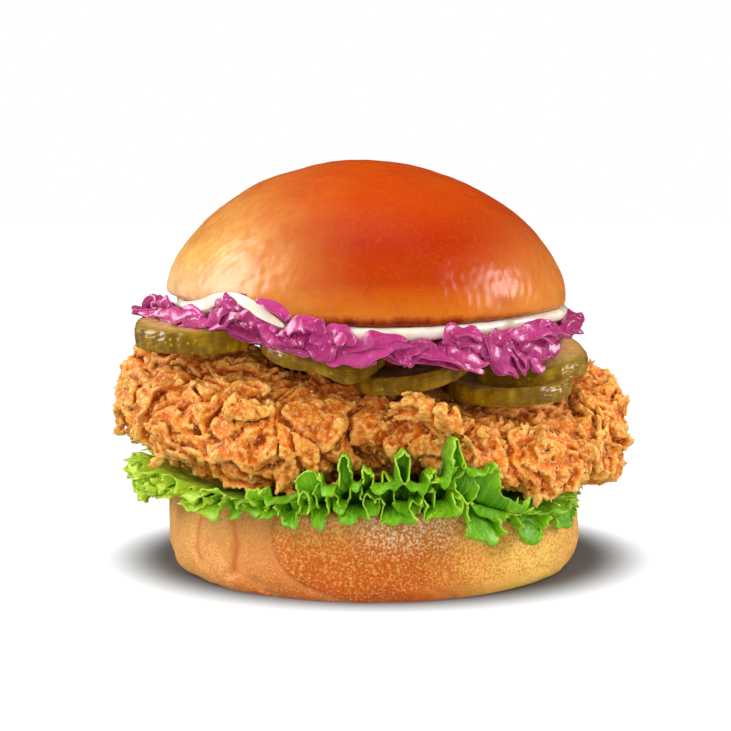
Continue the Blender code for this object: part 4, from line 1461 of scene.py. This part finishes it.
FRONT_REACH, LEFT_BULGE = 56.3, 4.0  # mm from the middle; the heap spreads out more on the left
FRONT_STRIPS = (  # (mm further out, half widths at start, middle and end, (degrees round, height)...)
    (0, (2.7, 2.9, 1.5), ((-151.5, 66.5), (-152, 68.5), (-152, 70.5), (-149.5, 72))),
    (0.5, (1.1, 1.5, 0.9), ((-156.5, 67), (-157.5, 69.5), (-153.5, 71.5), (-149.5, 72))),
    (0.3, (1.3, 1.4, 1), ((-149, 71.5), (-146.5, 71), (-145, 69.5))),
    (0.6, (1.9, 2, 0.9), ((-148.5, 68.5), (-144.5, 68.5), (-140.5, 68.5), (-137, 68.5),
     (-134.5, 68))),
    (0.4, (0.8, 1, 0.6), ((-140.5, 70), (-138.5, 69.5), (-136, 69.5), (-134.5, 68.5))),
    (-0.2, (1, 1.3, 0.9), ((-148.5, 66.5), (-145, 66), (-142, 65.5), (-139.5, 65))),
    (0.9, (1.9, 2, 1.6), ((-139.5, 66.5), (-137, 66.5), (-135, 67), (-132.5, 67))),
    (0.7, (1.3, 2.7, 1.3), ((-133, 66), (-132, 68), (-130, 69.5), (-127, 71), (-124.5, 72))),
    (1.1, (0.9, 1.1, 0.8), ((-130.5, 71.5), (-128, 71.5), (-125.5, 71), (-123.5, 70))),
    (0.3, (1.5, 2.2, 1.4), ((-133, 66), (-130, 67), (-126.5, 68), (-124, 68.5))),
    (0.4, (1.6, 2.2, 1.5), ((-127.5, 72.5), (-124.5, 72.5), (-122.5, 71.5), (-120.5, 70))),
    (1, (1.3, 2.1, 1.4), ((-126.5, 67), (-124, 68.5), (-121, 69), (-118, 68), (-116, 66.5))),
    (0.5, (0.9, 1.2, 0.9), ((-124, 66.5), (-121, 66.5), (-118.5, 66.5))),
    (0.9, (0.8, 1.7, 0.9), ((-118, 72.5), (-115.5, 72), (-112.5, 71), (-110.5, 69.5),
     (-109.5, 68))),
    (0.5, (1.1, 1.5, 0.9), ((-119, 70), (-117.5, 68.5), (-115, 66.5), (-112.5, 65.5))),
    (1.2, (1.3, 1.8, 0.9), ((-116.5, 67), (-115, 65.5), (-113, 64), (-109.5, 63))),
    (0.5, (0.8, 1.1, 0.9), ((-116.5, 65.5), (-115, 64), (-112.5, 63))),
    (0, (0.9, 1.3, 1.1), ((-113, 65), (-111, 65.5), (-109.5, 66))),
    (0.8, (1.5, 2.1, 1.3), ((-109.5, 65.5), (-107.5, 67), (-105, 67.5), (-103, 66.5),
     (-101.5, 65))),
    (1.4, (1.3, 1.7, 1.2), ((-106, 67.5), (-103.5, 67.5), (-101.5, 66.5), (-100, 65.5))),
    (0.9, (1.2, 2.1, 1.3), ((-100.5, 66), (-98.5, 66.5), (-96.5, 66), (-95.5, 64), (-95, 62))),
    (1.5, (1.5, 2.1, 1.3), ((-98, 63), (-97, 63.5), (-95.5, 63.5))),
    (1, (1.2, 2.3, 1.5), ((-108, 62.5), (-106.5, 63.5), (-104.5, 64), (-103, 62.5))),
    (1.1, (1.7, 2.4, 1.7), ((-104.5, 63), (-102.5, 61.5), (-100, 61), (-98, 62.5))),
    (0.7, (2, 2.4, 1.9), ((-103.5, 65.5), (-101.5, 64), (-99.5, 62.5))),
    (0.2, (1.6, 1.9, 1.5), ((-107.5, 65.5), (-105, 64.5), (-103, 63.5))),
    (0.2, (1, 1.3, 1), ((-110.5, 64), (-108.5, 63), (-106, 62))),
    (1, (0.9, 2.7, 0.8), ((-100.5, 58.5), (-97, 59.5), (-93, 60), (-89, 61.5), (-84.5, 62.5),
     (-80, 62))),
    (0.5, (0.9, 2.2, 0.8), ((-99, 60), (-95.5, 61.5), (-92, 62.5), (-88, 63.5), (-84, 64),
     (-81.5, 63.5))),
    (0.5, (0.8, 1.1, 0.8), ((-95.5, 58), (-92.5, 58.5), (-89, 59))),
    (0.8, (1.7, 1.9, 1.2), ((-83, 58.5), (-82, 59.5), (-80.5, 61), (-78, 62), (-75.5, 63))),
    (1.2, (1.1, 1.6, 1.1), ((-83.5, 59.5), (-81.5, 59), (-79.5, 59.5))),
    (0.2, (1.3, 1.4, 1), ((-79, 62.5), (-76.5, 62.5), (-74, 62))),
    (1, (1.6, 2.6, 1.5), ((-80.5, 59.5), (-77.5, 60.5), (-73.5, 60), (-69, 59), (-65.5, 57.5),
     (-62.5, 56))),
    (1.3, (1.3, 1.8, 0.9), ((-72.5, 61), (-69, 60.5), (-65.5, 59.5), (-61, 58))),
    (0.5, (0.8, 1.2, 0.8), ((-78.5, 59), (-74.5, 58.5), (-71, 58), (-68, 57.5))),
    (0.5, (1.9, 2.6, 1.7), ((-72, 62), (-70.5, 64.5), (-68, 65), (-65, 64.5), (-63, 63))),
    (1, (1.3, 1.9, 1.3), ((-71, 63), (-68.5, 63.5), (-66, 62.5), (-63.5, 60.5))),
    (0.6, (1.2, 1.4, 1.1), ((-77, 61), (-75, 61.5), (-72.5, 61.5))),
    (1.2, (0.9, 2.6, 1.3), ((-62.5, 64), (-61, 62), (-58.5, 59.5), (-55.5, 57), (-52, 54))),
    (0.8, (1, 1.7, 1), ((-61.5, 61), (-59, 58), (-56, 56), (-53, 54.5))),
    (0.9, (1.3, 2.3, 1.4), ((-57, 63), (-55, 60.5), (-52.5, 58), (-49.5, 55))),
    (0.6, (1.6, 2.8, 1.6), ((-55, 63.5), (-51.5, 60.5), (-47.5, 57.5), (-43, 55))),
    (1.1, (1.4, 1.8, 0.9), ((-49.5, 59), (-47, 57.5), (-44.5, 56), (-43, 55))),
    (1.3, (1.4, 2.8, 0.8), ((-55, 63.5), (-51, 64), (-46.5, 65), (-41.5, 65), (-36, 63.5),
     (-29, 61.5))),
    (1, (1.3, 1.6, 1), ((-50.5, 64.5), (-46, 64), (-41.5, 62.5), (-36.5, 61.5))),
    (1.3, (1.5, 1.7, 1.1), ((-37.5, 63.5), (-33.5, 64), (-28.5, 64), (-23.5, 63))),
    (0.3, (1.3, 2.3, 1.3), ((-44.5, 57.5), (-41.5, 59), (-38, 60), (-35, 61.5))),
    (0.5, (1.9, 2.6, 1.7), ((-51, 61.5), (-47.5, 61), (-43, 60), (-40, 59))),
    (0.5, (1.4, 2.1, 1.5), ((-61, 62.5), (-58.5, 63.5), (-55.5, 64), (-52, 63))),
    (0.2, (1.3, 1.7, 1.1), ((-63.5, 62), (-60.5, 60.5), (-58.5, 58))),
    (-0.2, (1.4, 1.7, 1.3), ((-65.5, 63.5), (-63, 63.5), (-59.5, 63.5))),
    (0.9, (0.9, 1.3, 1), ((-46, 65.5), (-42, 66), (-38, 65))))


def front_path(outside, bulge, places):
    """Points (x, y, z) in mm on the heap's front from (degrees round, height in mm) pairs."""
    turn, z = np.array(places, float).T
    out = FRONT_REACH + outside + bulge * smoothstep(-130, -150, turn)
    return np.stack([out * np.cos(np.radians(turn)), out * np.sin(np.radians(turn)), z], axis=1)


def random_strips(count, rng):
    """Paths that lie round the heap's outside, with half widths."""
    made = []
    for _ in range(count):
        angle = rng.uniform(0, math.tau) if rng.random() < 0.6 else rng.uniform(-2.9, -0.3)
        span = rng.uniform(0.12, 0.38) * rng.choice((-1, 1))
        share = rng.uniform(0.9, 1.0)
        turn = angle + np.linspace(0, span, 5)
        out = slaw_reach(turn) * (share + rng.normal(0, 0.02, 5)) - 1.0
        x, y = out * np.cos(turn), out * np.sin(turn)
        low, high = slaw_heights(x, y)
        level = np.clip(rng.uniform(0.05, 0.95) + np.linspace(-0.25, 0.25, 5) * rng.normal()
                        + rng.normal(0, 0.08, 5), 0, 1)
        z = low + 1.0 + (high - low - 1.6) * level
        made.append((np.stack([x, y, z], axis=1), rng.uniform(1.1, 2.3) * rng.uniform(0.6, 1.1, 4)))
    return made


# %% Slaw material and pieces


def cabbage():
    n = Nodes("red_cabbage")
    edge, tone = n.attribute("edge"), n.attribute("tone")
    base = n.mix(tone, linear(166, 32, 100), linear(208, 70, 142))
    depth = n.effect(PATCHES, Size=6, Low=0.38, High=0.68)
    base = n.mix(n.math("MULTIPLY", depth, 0.55), base, linear(142, 16, 86))
    fibre = n.between(n.noise(1.3, 2, 0.5, 0.3), 0.5, 0.72)
    base = n.mix(n.math("MULTIPLY", fibre, 0.25), base, linear(224, 112, 180))
    base = n.mix(n.math("MULTIPLY", n.between(edge, 0.8, 1.0), 0.6), base, linear(232, 140, 196))
    wave = n.bump(n.noise(1.8, 3, 0.6, 0.8), 0.5)
    return n.finish(base, n.between(depth, 0, 1, 0.3, 0.42), wave, Coat_Weight=0.55,
                    Coat_Roughness=0.14, Specular_IOR_Level=0.4, Subsurface_Weight=0.2,
                    Subsurface_Radius=(0.003, 0.0006, 0.0016), Subsurface_Scale=0.5)


cabbage_look = cabbage()
rng = np.random.default_rng(77)
strips = [(front_path(outside, LEFT_BULGE, places), wide) for outside, wide, places in FRONT_STRIPS]
strips += random_strips(240, rng)
shapes, tones = [], []
for path, wide in strips:
    middle = path[len(path) // 2]
    face = unit(np.array([middle[0], middle[1], 0.0])) + (0, 0, rng.uniform(0.2, 1.0))
    shapes.append(ribbon(path, wide, rng.uniform(0.38, 0.6), face, rng.normal(0, 0.5), rng))
    tones.append(rng.uniform(0, 1))
strips_at = np.stack(shapes)
crumple = np.stack([waves(strips_at, 6.5, seed) for seed in (401, 402, 403)], axis=-1)
strips_at = strips_at + 0.45 * crumple
edge = np.abs(np.cos(np.linspace(0, math.tau, SIDES, endpoint=False))) ** 3
piece("slaw_strips", strips_at.reshape(-1, 3), strip_faces(len(strips)), "slaw",
      cabbage_look, {"edge": np.broadcast_to(edge, strips_at.shape[:3]),
                     "tone": np.broadcast_to(np.array(tones)[:, None, None], strips_at.shape[:3])})


def slaw_core(turns=240, steps=40):
    """A lumpy pad inside the heap: radius share * reach, height between its underside and top."""
    u = np.linspace(0, math.tau, turns, endpoint=False)[None, :]
    v = np.linspace(-90, 90, steps)[:, None]
    share = np.cos(np.radians(v)) ** 0.5 * 0.95
    x, y = share * slaw_reach(u) * np.cos(u), share * slaw_reach(u) * np.sin(u)
    low, high = slaw_heights(x, y)
    z = (low + high) / 2 + np.sin(np.radians(v)) * (high - low - 1.6) / 2
    points = np.stack([x, y, z], axis=-1)
    lumps = 0.7 * waves(points, 7, 201) + 0.3 * waves(points, 3, 202)
    points = points + unit(np.stack([x, y, 0 * x], axis=-1)) * (lumps * share**4)[..., None]
    points[0], points[-1] = points[0].mean(axis=0), points[-1].mean(axis=0)
    return points


core_points, core_faces, used = closed_turning(slaw_core())
piece("slaw_core", core_points, without_doubles(core_faces), "slaw", cabbage_look,
      {"edge": np.zeros(len(core_points)), "tone": np.zeros(len(core_points))})


# %% [markdown]
# ## Mayonnaise: a soft lip under the crown
#
# The sauce was spread on the crown and squeezed out a little all round. It is a ring with a rounded
# lip that swells and thins, and one thick drip that runs over the slaw on the left of the front.

# %% Mayonnaise


def mayo_surface(turns=480):
    """Ring: from inside along the top, round a lip like half an ellipse, and back underneath."""
    u = np.linspace(0, math.tau, turns, endpoint=False)[None, :]
    v = np.radians(np.linspace(90, -90, 18))[:, None]
    inner = np.linspace(0.3, 0.97, 10)[:, None]
    ring = np.stack([np.cos(u), np.sin(u)], axis=-1)
    reach = 52.2 - 1.0 + 0.9 * np.sin(5 * u + 2) + 0.5 * np.sin(11 * u) + 0.5 * waves(
        ring * 50, 11, 301)
    out = np.concatenate([inner * (reach - 1.8), reach - 1.8 + 1.8 * np.cos(v),
                          inner[::-1] * (reach - 1.8)])
    side = np.concatenate([1 + 0 * inner, np.sin(v), -1 + 0 * inner])
    x, y = out * np.cos(u), out * np.sin(u)
    thick = 3.2 - 1.2 * bell(x + 45, 30) + 0.3 * np.sin(x / 9 + y / 13)
    sag = 0.7 * smoothstep(-0.2, 1, waves(ring * 50, 16, 302)) * smoothstep(40, 50, out)
    z = crown_base(x, y) - 0.1 - thick / 2 + side * thick / 2 - sag * (side < 0)
    points = np.stack([x, y, z + 0.08 * waves(np.stack([x, y], axis=-1), 6, 303)], axis=-1)
    return points


def cream():
    n = Nodes("mayonnaise_cream")
    base = n.mix(n.effect(PATCHES, Size=7, Low=0.35, High=0.7), linear(240, 226, 200),
                 linear(248, 240, 222))
    swirl = n.bump(n.noise(5, 2, 0.5, 0.6), 0.2)
    return n.finish(base, n.between(n.noise(4), 0.3, 0.7, 0.26, 0.36), swirl, Coat_Weight=0.5,
                    Coat_Roughness=0.12, Specular_IOR_Level=0.5, Subsurface_Weight=0.4,
                    Subsurface_Radius=(0.003, 0.0025, 0.002), Subsurface_Scale=0.6)


cream_look = cream()
mayo = mayo_surface()
piece("mayonnaise_lip", mayo.reshape(-1, 3),
      band_faces(*mayo.shape[:2], closed_rows=True)[:, ::-1], "mayonnaise", cream_look)
DRIP = ((-148.5, 70.5), (-141, 70.5), (-134.5, 71), (-130, 72.5), (-124.5, 73), (-120, 71.5),
        (-116.5, 69.5), (-113.5, 68), (-110.5, 66.5))  # (degrees round, height in mm)
drip = ribbon(front_path(0.5, 0.0, DRIP), np.array([0.8, 1.3, 1.9, 1.5, 1.2, 1.2, 1.4, 1.5, 1.1]), 0.6,
              np.array([-0.2, -1.0, 0.3]), 0.1, np.random.default_rng(5))
piece("mayonnaise_drip", drip.reshape(-1, 3), strip_faces(1), "mayonnaise", cream_look)


# %% [markdown]
# ## Inside of the fillet
#
# The crust is a shell with a hole through its middle, where nothing shows. A smooth core of the
# meat closes it, so that the fillet is whole from any side.

# %% Fillet core


def core_surface(turns=120, steps=30):
    """Drum between the fillet's top and underside, 5 mm inside them."""
    u = np.linspace(0, math.tau, turns, endpoint=False)[None, :]
    v = np.radians(np.linspace(-90, 90, steps))[:, None]
    out = 31.0 * np.cos(v) ** 0.4
    x, y = out * np.cos(u), out * np.sin(u)
    low, high = fillet_under(x, y) + 5, fillet_top(x, y) - 5
    z = (low + high) / 2 + np.sin(v) * (high - low) / 2
    return np.stack([x, y, z], axis=-1)


core_points, core_faces, used = closed_turning(core_surface())
piece("fillet_core", core_points, without_doubles(core_faces), "fillet", crust_look,
      {"open_wide": np.zeros(len(core_points)), "open_fine": np.zeros(len(core_points))})


# %% Gather the sizes and finish
sizes = {"cad": [list(corner) for corner in cad_box],
         "visual": [list(corner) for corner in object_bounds()]}
print("box, mm:", [[round(v * 1000, 1) for v in corner] for corner in sizes["visual"]])
